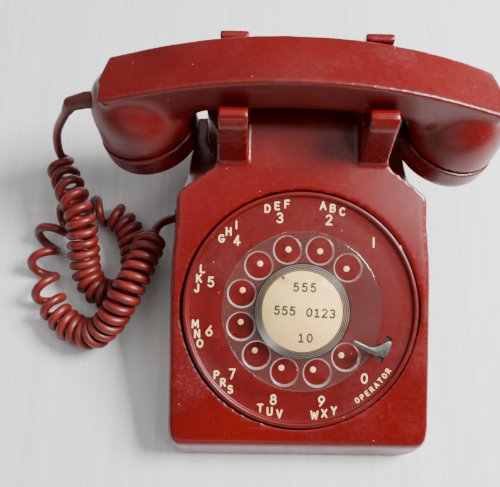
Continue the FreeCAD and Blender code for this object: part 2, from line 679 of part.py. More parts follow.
def handset_shell():
    shell = handle_bar()
    for sign in (-1, 1):
        shell = shell.fuse(web(sign))
        dome = turned([(0, 0), (CUP_R, 0)] + [
            ((CUP_R + 0.4) * math.cos(math.radians(a)), 6 + DOME_H * math.sin(math.radians(a)))
            for a in range(0, 90, 9)] + [(0, 6 + DOME_H)])
        shell = shell.fuse(placed(dome, cup_frame(sign)))
    for sign in (-1, 1):
        pocket = disc(CUP_R - CUP_WALL, -1, 14)
        shell = shell.cut(placed(pocket, cup_frame(sign)))
    return shell.removeSplitter()


def cap(sign):
    """Screw-on cap with a dished, perforated face."""
    body = turned([(0, -CAP_H + 1.6), (CAP_R - 12, -CAP_H), (CAP_R - 3.5, -CAP_H), (CAP_R - 0.8, -CAP_H + 2.5),
                   (CAP_R, -CAP_H + 6), (CAP_R, -0.3), (CAP_R - 5.8, -0.3), (CAP_R - 5.8, -CAP_H + 4.4),
                   (0, -CAP_H + 4.4)])
    for k in range(6):
        x, y = polar(7.0, 60 * k)
        body = body.cut(disc(1.3, -CAP_H - 1, -CAP_H + 6, x, y))
    return placed(body, cup_frame(sign))


def capsule(sign, radius, low, high):
    return placed(disc(radius, low, high), cup_frame(sign))


# The boot leaves the left end of the handset and bends down into the lead.
BOOT = [(HANDSET_X - 112.0, 80.0, 89.7), (HANDSET_X - 126.5, 80.1, 88.8), (HANDSET_X - 136.5, 80.15, 84.3),
        (HANDSET_X - 140.94, 80.49, 76.1)]
BOOT_RADII = (6.0, 5.0, 4.4, WIRE_D / 2 + 0.7)


def coil_pieces():
    """The coiled route in pieces, each cut square across the middle of a run."""
    middles = [tuple((a + b) / 2 for a, b in zip(COIL[i - 1], COIL[i])) for i in COIL_CUTS]
    starts = [COIL[:1]] + [[point] for point in middles]
    ends = [[point] for point in middles] + [[]]
    bounds = [1] + list(COIL_CUTS) + [len(COIL)]
    return [start + COIL[low:high] + end for start, end, low, high in zip(starts, ends, bounds, bounds[1:])]


def boot():
    shape = None
    for (a, b), (ra, rb) in zip(zip(BOOT, BOOT[1:]), zip(BOOT_RADII, BOOT_RADII[1:])):
        a, b = V(*a), V(*b)
        cone = Part.makeCone(ra, rb, a.distanceToPoint(b), a, b - a)
        shape = cone if shape is None else shape.fuse(cone)
    for point, radius in zip(BOOT[1:-1], BOOT_RADII[1:-1]):
        shape = shape.fuse(Part.makeSphere(radius, V(*point)))
    return shape


# ---------------------------------------------------------------- write every piece
def main():
    network_block, network_terminals = network()
    ringer_frame, ringer_coils = ringer()
    handset = handset_shell()
    shell = housing()
    export("housing", shell)
    export("base_plate", base_plate())
    export("base_feet", feet())
    export("housing_screws", housing_screws())
    export("handset_cord_grommet", cord_grommet().cut(shell))
    export("line_cord_socket", line_gland())
    export("network_block", network_block)
    export("network_terminals", network_terminals)
    export("ringer_frame", ringer_frame)
    export("ringer_coils", ringer_coils)
    export("clapper", clapper())
    export("ringer_armature", armature())
    export("gong_left", gong(-1))
    export("gong_right", gong(1))
    export("gong_post_left", gong_posts(-1))
    export("gong_post_right", gong_posts(1))
    export("volume_wheel", volume_wheel())
    export("volume_bracket", volume_bracket())
    export("plunger_left", plunger(-PLUNGER_X))
    export("plunger_right", plunger(PLUNGER_X))
    export("hookswitch_lever", hook_lever())
    export("hookswitch_bracket", hook_bracket())
    export("hookswitch_contacts", hook_contacts())
    export("dial_bracket_left", dial_bracket(-1))
    export("dial_bracket_right", dial_bracket(1))
    dial_pieces = {"number_ring": number_ring(), "dial_frame": dial_frame(), "dial_rear_plate": rear_plate(),
                   "dial_shaft": dial_shaft(), "finger_wheel": finger_wheel(), "number_card": number_card(),
                   "card_window": card_window(), "wheel_screw": wheel_screw(), "main_gear": main_gear(),
                   "pulse_pinion": pulse_wheel(), "pulse_cam": pulse_cam(), "governor_pinion": governor(),
                   "governor_weights": governor_weights(), "governor_cup": governor_cup(),
                   "pulse_contacts": pulse_contacts(), "main_spring": main_spring(),
                   "finger_stop": finger_stop(), "dial_screws": dial_screws()}
    for name, shape in dial_pieces.items():
        export(name, placed(shape, DIAL_AT))
    handset_pieces = {"handset_shell": handset, "transmitter_cap": cap(-1), "receiver_cap": cap(1),
                      "transmitter_unit": capsule(-1, 23.5, -9.0, -0.5), "receiver_unit": capsule(1, 24.0, -10.0, 4.0),
                      "transmitter_cup": capsule(-1, 25.0, -0.25, 8.0)}
    for name, shape in handset_pieces.items():
        export(name, placed(shape, HANDSET_AT))
    export("handset_cord_boot", boot().cut(placed(handset, HANDSET_AT)))
    export("cord_lead", tube(LEAD, WIRE_D / 2, "lead"))
    for letter, points in zip("abcde", coil_pieces()):
        piece = tube(points, COIL_D / 2, "coil " + letter, letter != "a", letter != "e")
        export("cord_coil_" + letter, piece)
    export("cord_tail", tube(TAIL, WIRE_D / 2, "tail"))


main()
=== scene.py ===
"""Desk telephone with a rotary dial: its looks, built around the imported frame. Metres, in the part's frame."""

import math

import bmesh
import bpy
import numpy as np
from mathutils import Matrix, Quaternion, Vector


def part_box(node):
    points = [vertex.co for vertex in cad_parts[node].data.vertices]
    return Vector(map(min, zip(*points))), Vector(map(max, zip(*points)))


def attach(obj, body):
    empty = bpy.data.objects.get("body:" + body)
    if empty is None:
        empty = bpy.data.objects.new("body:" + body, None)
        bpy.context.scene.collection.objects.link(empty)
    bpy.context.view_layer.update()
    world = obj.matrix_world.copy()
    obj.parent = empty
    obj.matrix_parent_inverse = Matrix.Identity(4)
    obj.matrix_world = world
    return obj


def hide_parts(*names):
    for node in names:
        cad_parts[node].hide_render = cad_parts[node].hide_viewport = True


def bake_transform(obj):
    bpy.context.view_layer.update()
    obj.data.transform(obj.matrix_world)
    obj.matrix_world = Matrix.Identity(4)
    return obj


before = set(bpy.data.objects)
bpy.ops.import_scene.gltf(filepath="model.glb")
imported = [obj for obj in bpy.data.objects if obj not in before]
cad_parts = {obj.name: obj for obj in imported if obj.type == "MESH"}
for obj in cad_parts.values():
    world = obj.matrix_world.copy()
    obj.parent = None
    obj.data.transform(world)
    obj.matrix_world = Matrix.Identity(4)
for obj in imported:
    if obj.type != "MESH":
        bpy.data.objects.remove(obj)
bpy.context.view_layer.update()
MM = 0.001

# ---------------------------------------------------------------- room
# A pale painted table in a room lit by one broad window behind the right shoulder of the set.
# The table is matt, so it gives soft shadows and no mirror image.


def linear(code):
    """sRGB hex colour as linear RGBA."""
    parts = [int(code[i:i + 2], 16) / 255 for i in (1, 3, 5)]
    return [p / 12.92 if p <= 0.04045 else ((p + 0.055) / 1.055) ** 2.4 for p in parts] + [1.0]


def add(tree, kind, settings=None, links=None):
    """One node with its settings, and links given as {socket: (node, socket)}."""
    node = tree.nodes.new(kind)
    for name, value in (settings or {}).items():
        if isinstance(name, str) and hasattr(node, name):
            setattr(node, name, value)
        else:
            node.inputs[name].default_value = value
    for name, (source, output) in (links or {}).items():
        tree.links.new(source.outputs[output], node.inputs[name])
    return node


def blank(name):
    """An empty node material with its output, ready for a shader."""
    material = bpy.data.materials.new(name)
    material.use_nodes = True
    material.node_tree.nodes.clear()
    return material, material.node_tree


def finish_with(tree, shader):
    add(tree, "ShaderNodeOutputMaterial", {}, {"Surface": (shader, 0)})


def millimetres(tree):
    """Object coordinates counted in millimetres, so a pattern's scale is one over its size."""
    place = add(tree, "ShaderNodeTexCoord")
    return add(tree, "ShaderNodeVectorMath", {"operation": "SCALE", "Scale": 1000.0}, {0: (place, "Object")})


def new_object(name, vertices, faces, smooth=True):
    mesh = bpy.data.meshes.new(name)
    mesh.from_pydata([tuple(v) for v in vertices], [], faces)
    mesh.validate()
    mesh.polygons.foreach_set("use_smooth", [smooth] * len(mesh.polygons))
    thing = bpy.data.objects.new(name, mesh)
    bpy.context.scene.collection.objects.link(thing)
    return thing


def painted_wood():
    """Satin paint on boards: faint brush lines and a slow change of tone."""
    material, tree = blank("white_satin_paint")
    mm = millimetres(tree)
    lines = add(tree, "ShaderNodeMapping", {"Scale": (0.25, 0.004, 0.05)}, {"Vector": (mm, 0)})
    grain = add(tree, "ShaderNodeTexNoise", {"Scale": 1.0, "Detail": 4.0}, {"Vector": (lines, 0)})
    tone = add(tree, "ShaderNodeValToRGB", {}, {"Fac": (grain, 0)})
    tone.color_ramp.elements[0].position = 0.38
    tone.color_ramp.elements[1].position = 0.62
    tone.color_ramp.elements[0].color = linear("#E2E3E2")
    tone.color_ramp.elements[1].color = linear("#ECEDEC")
    paint = add(tree, "ShaderNodeBsdfPrincipled", {"Roughness": 0.62, "IOR": 1.45}, {"Base Color": (tone, 0)})
    finish_with(tree, paint)
    return material


TABLE_HALF = 1.6
table = new_object("table", [(-TABLE_HALF, -TABLE_HALF, 0), (TABLE_HALF, -TABLE_HALF, 0),
                             (TABLE_HALF, TABLE_HALF, 0), (-TABLE_HALF, TABLE_HALF, 0)], [(0, 1, 2, 3)])
table.data.materials.append(painted_wood())


def window(name, place, aim, size, watts, colour):
    lamp = bpy.data.lights.new(name, "AREA")
    lamp.shape = "RECTANGLE"
    lamp.size, lamp.size_y = size
    lamp.energy = watts
    lamp.color = linear(colour)[:3]
    holder = bpy.data.objects.new(name, lamp)
    holder.location = place
    holder.rotation_euler = (Vector(place) - Vector(aim)).to_track_quat("Z", "Y").to_euler()
    bpy.context.scene.collection.objects.link(holder)


window("window_light", (0.92, 0.24, 0.95), (0, 0, 0.03), (0.5, 0.5), 57.0, "#FFFFFF")
window("ceiling_light", (-0.3, 0.5, 1.5), (0, 0, 0), (2.4, 1.6), 10.0, "#FFFDF8")
window("ceiling_lamp", (0.43, -0.2, 1.0), (0, 0, 0.05), (0.12, 0.3), 1.4, "#FFFFFF")
window("room_light", (-0.3, -1.2, 0.5), (0, 0, 0.05), (1.2, 0.4), 1.6, "#FFF6EC")
world = bpy.data.worlds.new("room")
world.use_nodes = True
world.node_tree.nodes["Background"].inputs["Color"].default_value = linear("#E9EEF2")
world.node_tree.nodes["Background"].inputs["Strength"].default_value = 0.22
bpy.context.scene.world = world

# ---------------------------------------------------------------- camera
# A hand-held camera with a short lens, close above the set and almost square to the dial. Its place is given
# on the dial: to the right, up the face and off it.
TILT = math.radians(18.0)             # slope of the dial face
ring_low, ring_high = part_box("number_ring")
RING_R = (ring_high.x - ring_low.x) / 2
DIAL_UP = Vector((0, math.cos(TILT), math.sin(TILT)))
DIAL_OUT = Vector((0, -math.sin(TILT), math.cos(TILT)))
RING_BELOW, RING_ABOVE = 2.4 * MM, 2.0 * MM      # how far the ring's rim reaches under and over its plane
reach = RING_R * math.sin(TILT) + RING_ABOVE * math.cos(TILT)
dial_centre = Vector((0, (ring_low.y + ring_high.y) / 2, ring_high.z - reach))
dial_centre.y += (RING_ABOVE - RING_BELOW) / 2 * math.sin(TILT)


def on_dial(u, v, n):
    """Point u to the right, v up the face and n off it, in metres from the dial's centre."""
    return dial_centre + Vector((u, 0, 0)) + DIAL_UP * v + DIAL_OUT * n


CAMERA_U, CAMERA_V, CAMERA_N = -0.0357, 0.0360, 0.3521
CAMERA_TURN = [math.radians(a) for a in (-0.36, 0.86, -1.0)]
camera_data = bpy.data.cameras.new("camera")
camera_data.sensor_width = 36.0
camera_data.lens = 43.2
camera_data.clip_start = 0.01
camera = bpy.data.objects.new("camera", camera_data)
turn = Vector(CAMERA_TURN)
dial_axes = Matrix((Vector((1, 0, 0)), DIAL_UP, DIAL_OUT)).transposed()
camera_axes = dial_axes @ Quaternion(turn.normalized(), turn.length).to_matrix().transposed()
camera.matrix_world = Matrix.Translation(on_dial(CAMERA_U, CAMERA_V, CAMERA_N)) @ camera_axes.to_4x4()
bpy.context.scene.collection.objects.link(camera)
bpy.context.scene.camera = camera

# ---------------------------------------------------------------- handset cord
# Four wires in a thick rubber jacket, wound hot on a rod so that it springs back.
# Old rubber, dull and slightly browned. It comes straight out of the boot and goes into the housing's side.
WIRE_D = 5.7 * MM
COIL_D = 20.6 * MM
CORD_STEP = 1.35 * MM                 # between the rings of the cord's mesh
ROUTE_STEP = 0.12                     # between the places worked out along its route, in millimetres
LEAD = [(-142.3, 80.5, 76.0), (-148.8, 81.0, 64.0), (-155.5, 81.5, 50.5), (-159.5, 80.0, 37.0),
        (-159.5, 73.5, 25.5)]
COIL = [(-159.5, 73.5, 25.5), (-156.5, 62.5, 23.5), (-150.0, 50.0, 30.5), (-143.0, 37.0, 33.8),
        (-138.8, 23.5, 30.5), (-138.5, 9.5, 22.5), (-137.8, -3.0, 13.5), (-131.5, -15.0, 10.6),
        (-119.0, -19.5, 10.6), (-108.5, -13.5, 10.6), (-105.0, -1.5, 10.6), (-106.5, 12.5, 10.6),
        (-110.5, 25.5, 10.6), (-120.0, 36.5, 10.6), (-133.5, 42.5, 10.6), (-148.5, 41.0, 10.6),
        (-160.5, 32.5, 10.6), (-167.0, 19.0, 10.6), (-168.0, 2.0, 10.6), (-163.5, -15.0, 10.6),
        (-155.0, -30.5, 10.6), (-142.5, -41.5, 10.6), (-128.5, -45.5, 14.5), (-117.5, -39.5, 23.5),
        (-109.5, -28.0, 31.5), (-102.5, -14.0, 33.5), (-97.0, 2.0, 32.5), (-93.5, 17.0, 27.0)]
TAIL = [(-93.5, 17.0, 27.0), (-91.5, 25.5, 23.8), (-88.0, 32.0, 17.5), (-80.6, 36.0, 13.0)]


def line_of(points, name):
    """Points along the smooth NURBS line with these control points, in metres."""
    curve = bpy.data.curves.new(name, "CURVE")
    curve.dimensions = "3D"
    curve.resolution_u = 24
    spline = curve.splines.new("NURBS")
    spline.points.add(len(points) - 1)
    for slot, point in zip(spline.points, points):
        slot.co = (*[c * MM for c in point], 1.0)
    spline.order_u = 3
    spline.use_endpoint_u = True
    holder = bpy.data.objects.new(name, curve)
    bpy.context.scene.collection.objects.link(holder)
    bpy.context.view_layer.update()
    mesh = bpy.data.meshes.new_from_object(holder)
    found = np.array([v.co for v in mesh.vertices], float)
    bpy.data.objects.remove(holder)
    bpy.data.meshes.remove(mesh)
    return found


def lengths(points):
    return np.concatenate([[0], np.cumsum(np.linalg.norm(np.diff(points, axis=0), axis=1))])


def resample(points, places):
    along = lengths(points)
    return np.stack([np.interp(places, along, points[:, i]) for i in range(3)], 1)


def carried_frames(points):
    """Tangent and a side vector that is carried along the line without twisting."""
    tangents = np.gradient(points, axis=0)
    tangents /= np.linalg.norm(tangents, axis=1)[:, None]
    side = np.cross(tangents[0], (0.0, 0.0, 1.0))
    side /= np.linalg.norm(side)
    sides = []
    for tangent in tangents:
        side = side - tangent * np.dot(side, tangent)
        side = side / np.linalg.norm(side)
        sides.append(side)
    sides = np.array(sides)
    return tangents, sides, np.cross(tangents, sides)


def tube_mesh(name, path, radii, around):
    """Closed round tube through path, capped at both ends. Its ring centres are the path's points."""
    tangents, sides, ups = carried_frames(path)
    angles = np.linspace(0, 2 * math.pi, around, endpoint=False)
    rings = (path[:, None] + np.asarray(radii)[:, None, None] *
             (np.cos(angles)[None, :, None] * sides[:, None] + np.sin(angles)[None, :, None] * ups[:, None]))
    count = len(path)
    faces = []
    for i in range(count - 1):
        for k in range(around):
            following = (k + 1) % around
            faces.append((i * around + k, i * around + following,
                          (i + 1) * around + following, (i + 1) * around + k))
    faces.append(tuple(reversed(range(around))))
    faces.append(tuple(range((count - 1) * around, count * around)))
    return new_object(name, rings.reshape(-1, 3), faces)


# Turns per millimetre of route for each stretch: loose below the lead, tight, tight, pulled open, tight.
TURNS = [(0.0, 0.075), (40.0, 0.11), (62.0, 0.155), (170.0, 0.155), (188.0, 0.055), (272.0, 0.05),
         (292.0, 0.13), (320.0, 0.152), (420.0, 0.152)]
route = line_of(LEAD + COIL[1:] + TAIL[1:], "cord_route")
route_along = lengths(route) / MM
lead_end = route_along[np.argmin(np.linalg.norm(route - np.array(COIL[0]) * MM, axis=1))]
coil_end = route_along[np.argmin(np.linalg.norm(route - np.array(COIL[-1]) * MM, axis=1))]
places = np.arange(0, route_along[-1], ROUTE_STEP)
base_line = resample(route, places * MM)
_, coil_sides, coil_ups = carried_frames(base_line)
density = np.interp(places - lead_end, [p for p, _ in TURNS], [d for _, d in TURNS], left=0.0, right=0.0)
density[(places < lead_end - 6) | (places > coil_end + 4)] = 0.0
phase = np.cumsum(density) * ROUTE_STEP * 2 * math.pi
coil_radius = (COIL_D - WIRE_D) / 2
grow = np.clip((places - lead_end + 8) / 16, 0, 1)
shrink = np.clip((coil_end + 5 - places) / 10, 0, 1)
wobble = 1 + 0.035 * np.sin(phase * 0.37 + 1.0) + 0.03 * np.sin(phase * 0.153)
offset = coil_radius * wobble * (grow * grow * (3 - 2 * grow)) * (shrink * shrink * (3 - 2 * shrink))
phase = phase + 0.25 * np.sin(places / 9.0)
turn_sides = np.cos(phase)[:, None] * coil_sides + np.sin(phase)[:, None] * coil_ups
helix = base_line + offset[:, None] * turn_sides
helix[:, 2] = np.maximum(helix[:, 2], WIRE_D / 2 + 0.2 * MM)
along = lengths(helix)
cord_length = float(along[-1])
cord_path = resample(helix, np.linspace(0, cord_length, int(cord_length / CORD_STEP)))
cord = tube_mesh("handset_cord", cord_path, np.full(len(cord_path), WIRE_D / 2), 14)


def old_rubber():
    """Aged rubber: waxy sheen and dull bloom in patches."""
    material, tree = blank("aged_cord_rubber")
    mm = millimetres(tree)
    bloom = add(tree, "ShaderNodeTexNoise", {"Scale": 0.08, "Detail": 5.0}, {"Vector": (mm, 0)})
    tone = add(tree, "ShaderNodeValToRGB", {}, {"Fac": (bloom, 0)})
    tone.color_ramp.elements[0].position = 0.3
    tone.color_ramp.elements[0].color = linear("#5A100D")
    tone.color_ramp.elements[1].position = 0.72
    tone.color_ramp.elements[1].color = linear("#7A201A")
    grit = add(tree, "ShaderNodeTexNoise", {"Scale": 1.4, "Detail": 3.0}, {"Vector": (mm, 0)})
    bump = add(tree, "ShaderNodeBump", {"Strength": 0.15, "Distance": 0.0002}, {"Height": (grit, 0)})
    rough = add(tree, "ShaderNodeMapRange", {"To Min": 0.3, "To Max": 0.5}, {"Value": (bloom, 0)})
    rubber = add(tree, "ShaderNodeBsdfPrincipled", {"IOR": 1.5},
                 {"Base Color": (tone, 0), "Roughness": (rough, 0), "Normal": (bump, 0)})
    finish_with(tree, rubber)
    return material


cord.data.materials.append(old_rubber())
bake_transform(cord)
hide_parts("cord_lead", "cord_tail", *["cord_coil_" + letter for letter in "abcde"])

# ---------------------------------------------------------------- housing
# One thick injection moulding of glossy red ABS, open underneath, with the cradle horns moulded on.
# Two screws hold it to the base plate. The mould's radii are soft, and years of use have scuffed the gloss.


def evened(node, cell, rounds, extra=None, extra_rounds=0):
    """The CAD piece on an even net of cell metres, its edges rounded off rounds times.

    extra gives a number from 0 to 1 at each point, for places that are rounded extra_rounds further.
    """
    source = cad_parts[node]
    net = bmesh.new()
    net.from_mesh(source.data)
    bmesh.ops.remove_doubles(net, verts=net.verts, dist=1e-6)
    mesh = bpy.data.meshes.new(node)
    net.to_mesh(mesh)
    net.free()
    holder = bpy.data.objects.new(node, mesh)
    bpy.context.scene.collection.objects.link(holder)
    modifier = holder.modifiers.new("net", "REMESH")
    modifier.mode = "VOXEL"
    modifier.voxel_size = cell
    bpy.context.view_layer.update()
    fine = bpy.data.meshes.new_from_object(holder.evaluated_get(bpy.context.evaluated_depsgraph_get()))
    bpy.data.objects.remove(holder)
    bpy.data.meshes.remove(mesh)
    count = len(fine.vertices)
    points = np.empty(count * 3)
    fine.vertices.foreach_get("co", points)
    points = points.reshape(-1, 3)
    edges = np.empty(len(fine.edges) * 2, int)
    fine.edges.foreach_get("vertices", edges)
    first, second = edges.reshape(-1, 2).T
    ends, others = np.concatenate([first, second]), np.concatenate([second, first])
    shares = np.bincount(ends, minlength=count)[:, None]
    more = None if extra is None else extra(points)[:, None]
    for turn_number in range(rounds + extra_rounds):
        middles = np.stack([np.bincount(ends, points[others, i], count) for i in range(3)], 1) / shares
        amount = 0.6 if turn_number < rounds else 0.6 * more
        points = points + amount * (middles - points)
    fine.vertices.foreach_set("co", points.ravel())
    fine.polygons.foreach_set("use_smooth", [True] * len(fine.polygons))
    fine.update()
    thing = bpy.data.objects.new(node + "_moulded", fine)
    bpy.context.scene.collection.objects.link(thing)
    return thing


def noise(tree, place, scale, detail=4.0, stretch=None, turned=(0.0, 0.0, 0.0)):
    """Cloudy pattern; scale counts per millimetre."""
    if stretch:
        place = (add(tree, "ShaderNodeMapping", {"Scale": stretch, "Rotation": turned}, {"Vector": place}), 0)
    return add(tree, "ShaderNodeTexNoise", {"Scale": scale, "Detail": detail}, {"Vector": place}), 0


def between(tree, source, low, high, top=1.0, bottom=0.0):
    """source stretched from low..high to bottom..top, and held there."""
    ends = {"From Min": low, "From Max": high, "To Min": bottom, "To Max": top}
    return add(tree, "ShaderNodeMapRange", ends, {"Value": source}), 0


def times(tree, one, other):
    return add(tree, "ShaderNodeMath", {"operation": "MULTIPLY"}, {0: one, 1: other}), 0


def laid(tree, amount, under, over):
    """over laid on under by amount; each is a hex colour or a (node, output) pair."""
    settings, links = {"data_type": "RGBA"}, {0: amount}
    for socket, value in ((6, under), (7, over)):
        if isinstance(value, str):
            settings[socket] = linear(value)
        else:
            links[socket] = value
    return add(tree, "ShaderNodeMix", settings, links), 2


def red_plastic(name, main, deep, worn, gloss=0.2, rub=0.45):
    """Pigmented ABS: slow tone drift, rubbed patches, hairline scratches and a few pale specks."""
    material, tree = blank(name)
    mm = (millimetres(tree), 0)
    drift = between(tree, noise(tree, mm, 0.018, 3.0), 0.35, 0.65)
    colour = laid(tree, drift, main, deep)
    patches = between(tree, noise(tree, mm, 0.022, 6.0), 0.52, 0.72)
    grain = between(tree, noise(tree, mm, 0.7, 8.0), 0.5, 0.66)
    rubbed = times(tree, patches, grain)
    colour = laid(tree, between(tree, rubbed, 0.0, 1.0, rub), colour, worn)
    hair_1 = between(tree, noise(tree, mm, 1.0, 2.0, (0.02, 1.1, 0.6), (0.0, 0.0, 0.5)), 0.7, 0.76)
    hair_2 = between(tree, noise(tree, mm, 1.0, 2.0, (0.9, 0.025, 0.5), (0.0, 0.0, -0.35)), 0.71, 0.77)
    hairs = add(tree, "ShaderNodeMath", {"operation": "MAXIMUM"}, {0: hair_1, 1: hair_2}), 0
    colour = laid(tree, between(tree, hairs, 0.0, 1.0, 0.13), colour, worn)
    cells = add(tree, "ShaderNodeTexVoronoi", {"Scale": 0.16}, {"Vector": mm})
    dots = between(tree, (cells, "Distance"), 0.05, 0.035)
    chosen = between(tree, (cells, "Color"), 0.6, 0.62)
    colour = laid(tree, between(tree, times(tree, dots, chosen), 0.0, 1.0, 0.7), colour, "#E7C9BD")
    fine = noise(tree, mm, 0.35, 6.0)
    moulded, dulled = between(tree, fine, 0.3, 0.7, gloss + 0.1, gloss), between(tree, patches, 0.0, 1.0, 0.16)
    rough = add(tree, "ShaderNodeMath", {"operation": "ADD"}, {0: moulded, 1: dulled})
    ripple = noise(tree, mm, 0.05, 1.0)
    bump = add(tree, "ShaderNodeBump", {"Strength": 0.25, "Distance": 0.0004}, {"Height": ripple})
    marks = add(tree, "ShaderNodeBump", {"Strength": 0.3, "Distance": 0.00005, "invert": True},
                {"Height": hairs, "Normal": (bump, 0)})
    plastic = add(tree, "ShaderNodeBsdfPrincipled", {"IOR": 1.5},
                  {"Base Color": colour, "Roughness": (rough, 0), "Normal": (marks, 0)})
    finish_with(tree, plastic)
    return material


def housing_rounding(points):
    """The front roll and the long edges of the face are softer than the rest."""
    front = np.clip((-0.098 - points[:, 1]) / 0.006, 0, 1) * np.clip((points[:, 2] - 0.012) / 0.008, 0, 1)
    sides = np.clip((np.abs(points[:, 0]) - 0.068) / 0.003, 0, 1)
    sides = sides * np.clip((points[:, 2] - 0.02) / 0.008, 0, 1)
    return np.maximum(front, sides * 0.5)


housing = evened("housing", 1.1 * MM, 4, housing_rounding, 24)
housing.data.materials.append(
    red_plastic("red_abs_housing", "#6C0606", "#620505", "#A8665C", gloss=0.2, rub=0.14))
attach(housing, "base")
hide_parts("housing")

# ---------------------------------------------------------------- number ring
# The ring under the finger wheel: the same red plastic, rather duller, with a raised bead round its rim.
# Numbers and letters are engraved and filled with cream paint; dots mark the holes.
RING_HOLE = 11.0 * MM
STOP_SLOTS = [(51.9, -16.4, 3.6, 2.4, -38.0), (47.0, -28.3, 4.2, 3.0, -30.0)]   # u, v, length, width, turn


def lathe(name, profile, around, closed=True):
    """Profile of (radius, height) pairs in metres, turned about the dial's axis."""
    angles = np.linspace(0, 2 * math.pi, around, endpoint=False)
    points, faces, rows = [], [], []
    for radius, height in profile:
        if radius < 1e-7:
            rows.append([len(points)] * around)
            points.append(on_dial(0, 0, height))
        else:
            rows.append(list(range(len(points), len(points) + around)))
            points.extend(on_dial(radius * math.cos(a), radius * math.sin(a), height) for a in angles)
    pairs = list(zip(rows, rows[1:] + rows[:1])) if closed else list(zip(rows, rows[1:]))
    for low, high in pairs:
        for k in range(around):
            following = (k + 1) % around
            face = [low[k], low[following], high[following], high[k]]
            face = [v for i, v in enumerate(face) if v != face[i - 1]]
            if len(face) > 2:
                faces.append(face)
    thing = new_object(name, points, faces)
    tidy_normals(thing)
    return thing


def tidy_normals(thing, sharp=None):
    """Faces point outwards; edges steeper than sharp degrees stay crisp."""
    net = bmesh.new()
    net.from_mesh(thing.data)
    bmesh.ops.remove_doubles(net, verts=net.verts, dist=1e-7)
    bmesh.ops.recalc_face_normals(net, faces=net.faces)
    net.to_mesh(thing.data)
    net.free()
    if sharp:
        thing.data.set_sharp_from_angle(angle=math.radians(sharp))


def softened(corners, steps=5):
    """Profile with each (radius, height, rounding) corner, in millimetres, turned into a short arc."""
    found = []
    for i, (r, h, size) in enumerate(corners):
        here = np.array([r, h])
        if size == 0:
            found.append(here)
            continue
        before = np.array(corners[i - 1][:2]) - here
        after = np.array(corners[(i + 1) % len(corners)][:2]) - here
        start = here + before / np.linalg.norm(before) * size
        end = here + after / np.linalg.norm(after) * size
        for t in np.linspace(0, 1, steps):
            found.append((1 - t) ** 2 * start + 2 * t * (1 - t) * here + t * t * end)
    return [(float(r) * MM, float(h) * MM) for r, h in found]


def cut(thing, tool):
    """Takes tool out of thing."""
    modifier = thing.modifiers.new("cut", "BOOLEAN")
    modifier.object = tool
    modifier.operation = "DIFFERENCE"
    modifier.solver = "EXACT"
    bpy.context.view_layer.update()
    fresh = bpy.data.meshes.new_from_object(thing.evaluated_get(bpy.context.evaluated_depsgraph_get()))
    thing.modifiers.clear()
    thing.data = fresh
    bpy.data.objects.remove(tool)


def prism(name, outline, low, high):
    """Upright block over a plan outline of (u, v) pairs in metres on the dial."""
    count = len(outline)
    points = [on_dial(u, v, low) for u, v in outline] + [on_dial(u, v, high) for u, v in outline]
    faces = [tuple(reversed(range(count))), tuple(range(count, 2 * count))]
    faces += [(i, (i + 1) % count, (i + 1) % count + count, i + count) for i in range(count)]
    thing = new_object(name, points, faces, smooth=False)
    tidy_normals(thing)
    return thing


rim = RING_R / MM
ring = lathe("number_ring_turned", softened([
    (RING_HOLE / MM, -2.4, 0), (rim, -2.4, 0.3), (rim, 1.9, 0.9), (rim - 2.4, 2.0, 0.9),
    (rim - 3.2, 0.35, 0.5), (rim - 9, 0.0, 2.0), (RING_HOLE / MM, 0.0, 0)]), 192)


def turned_plate(u, v, long, wide, degrees):
    """Corners, in metres on the dial, of a plate long by wide millimetres round (u, v), turned by degrees."""
    c, s = math.cos(math.radians(degrees)), math.sin(math.radians(degrees))
    corners = [(-long / 2, -wide / 2), (long / 2, -wide / 2), (long / 2, wide / 2), (-long / 2, wide / 2)]
    return [((u + x * c - y * s) * MM, (v + x * s + y * c) * MM) for x, y in corners]


for index, slot in enumerate(STOP_SLOTS):
    cut(ring, prism("slot_tool_%d" % index, turned_plate(*slot), -5 * MM, 3 * MM))
tidy_normals(ring, 35)
ring.data.materials.append(
    red_plastic("red_abs_dial_ring", "#620706", "#580605", "#A8665C", gloss=0.27, rub=0.1))
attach(ring, "base")
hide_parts("number_ring")


def moulded_black(name, tone, dust, dullness):
    """Black moulding, or a black block of painted shade, with grey dust in its grain."""
    material, tree = blank(name)
    mm = (millimetres(tree), 0)
    colour = laid(tree, between(tree, noise(tree, mm, 0.3, 5.0), 0.45, 0.8, 0.5), tone, dust)
    grain = noise(tree, mm, 2.5, 2.0)
    bump = add(tree, "ShaderNodeBump", {"Strength": 0.2, "Distance": 0.0001}, {"Height": grain})
    plastic = add(tree, "ShaderNodeBsdfPrincipled", {"Roughness": dullness, "IOR": 1.5},
                  {"Base Color": colour, "Normal": (bump, 0)})
    finish_with(tree, plastic)
    return material


# Black blocks at the bottom of the stop slots: painted shade for the dark depth below the slots, not a real
# part.
SLOT_SHADE_BLACK = moulded_black("painted_slot_shade", "#080707", "#12110F", 0.7)
for index, slot in enumerate(STOP_SLOTS):
    slot_shade_piece = prism("slot_shade_block_%d" % index, turned_plate(*slot), -2.35 * MM, -0.7 * MM)
    slot_shade_piece.data.materials.append(SLOT_SHADE_BLACK)
    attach(slot_shade_piece, "base")


def bow(x, y, wide, high, start, end, steps=14):
    """Points along part of an ellipse, in degrees counter-clockwise from the right."""
    return [(x + wide * math.cos(math.radians(start + (end - start) * i / steps)),
             y + high * math.sin(math.radians(start + (end - start) * i / steps))) for i in range(steps + 1)]


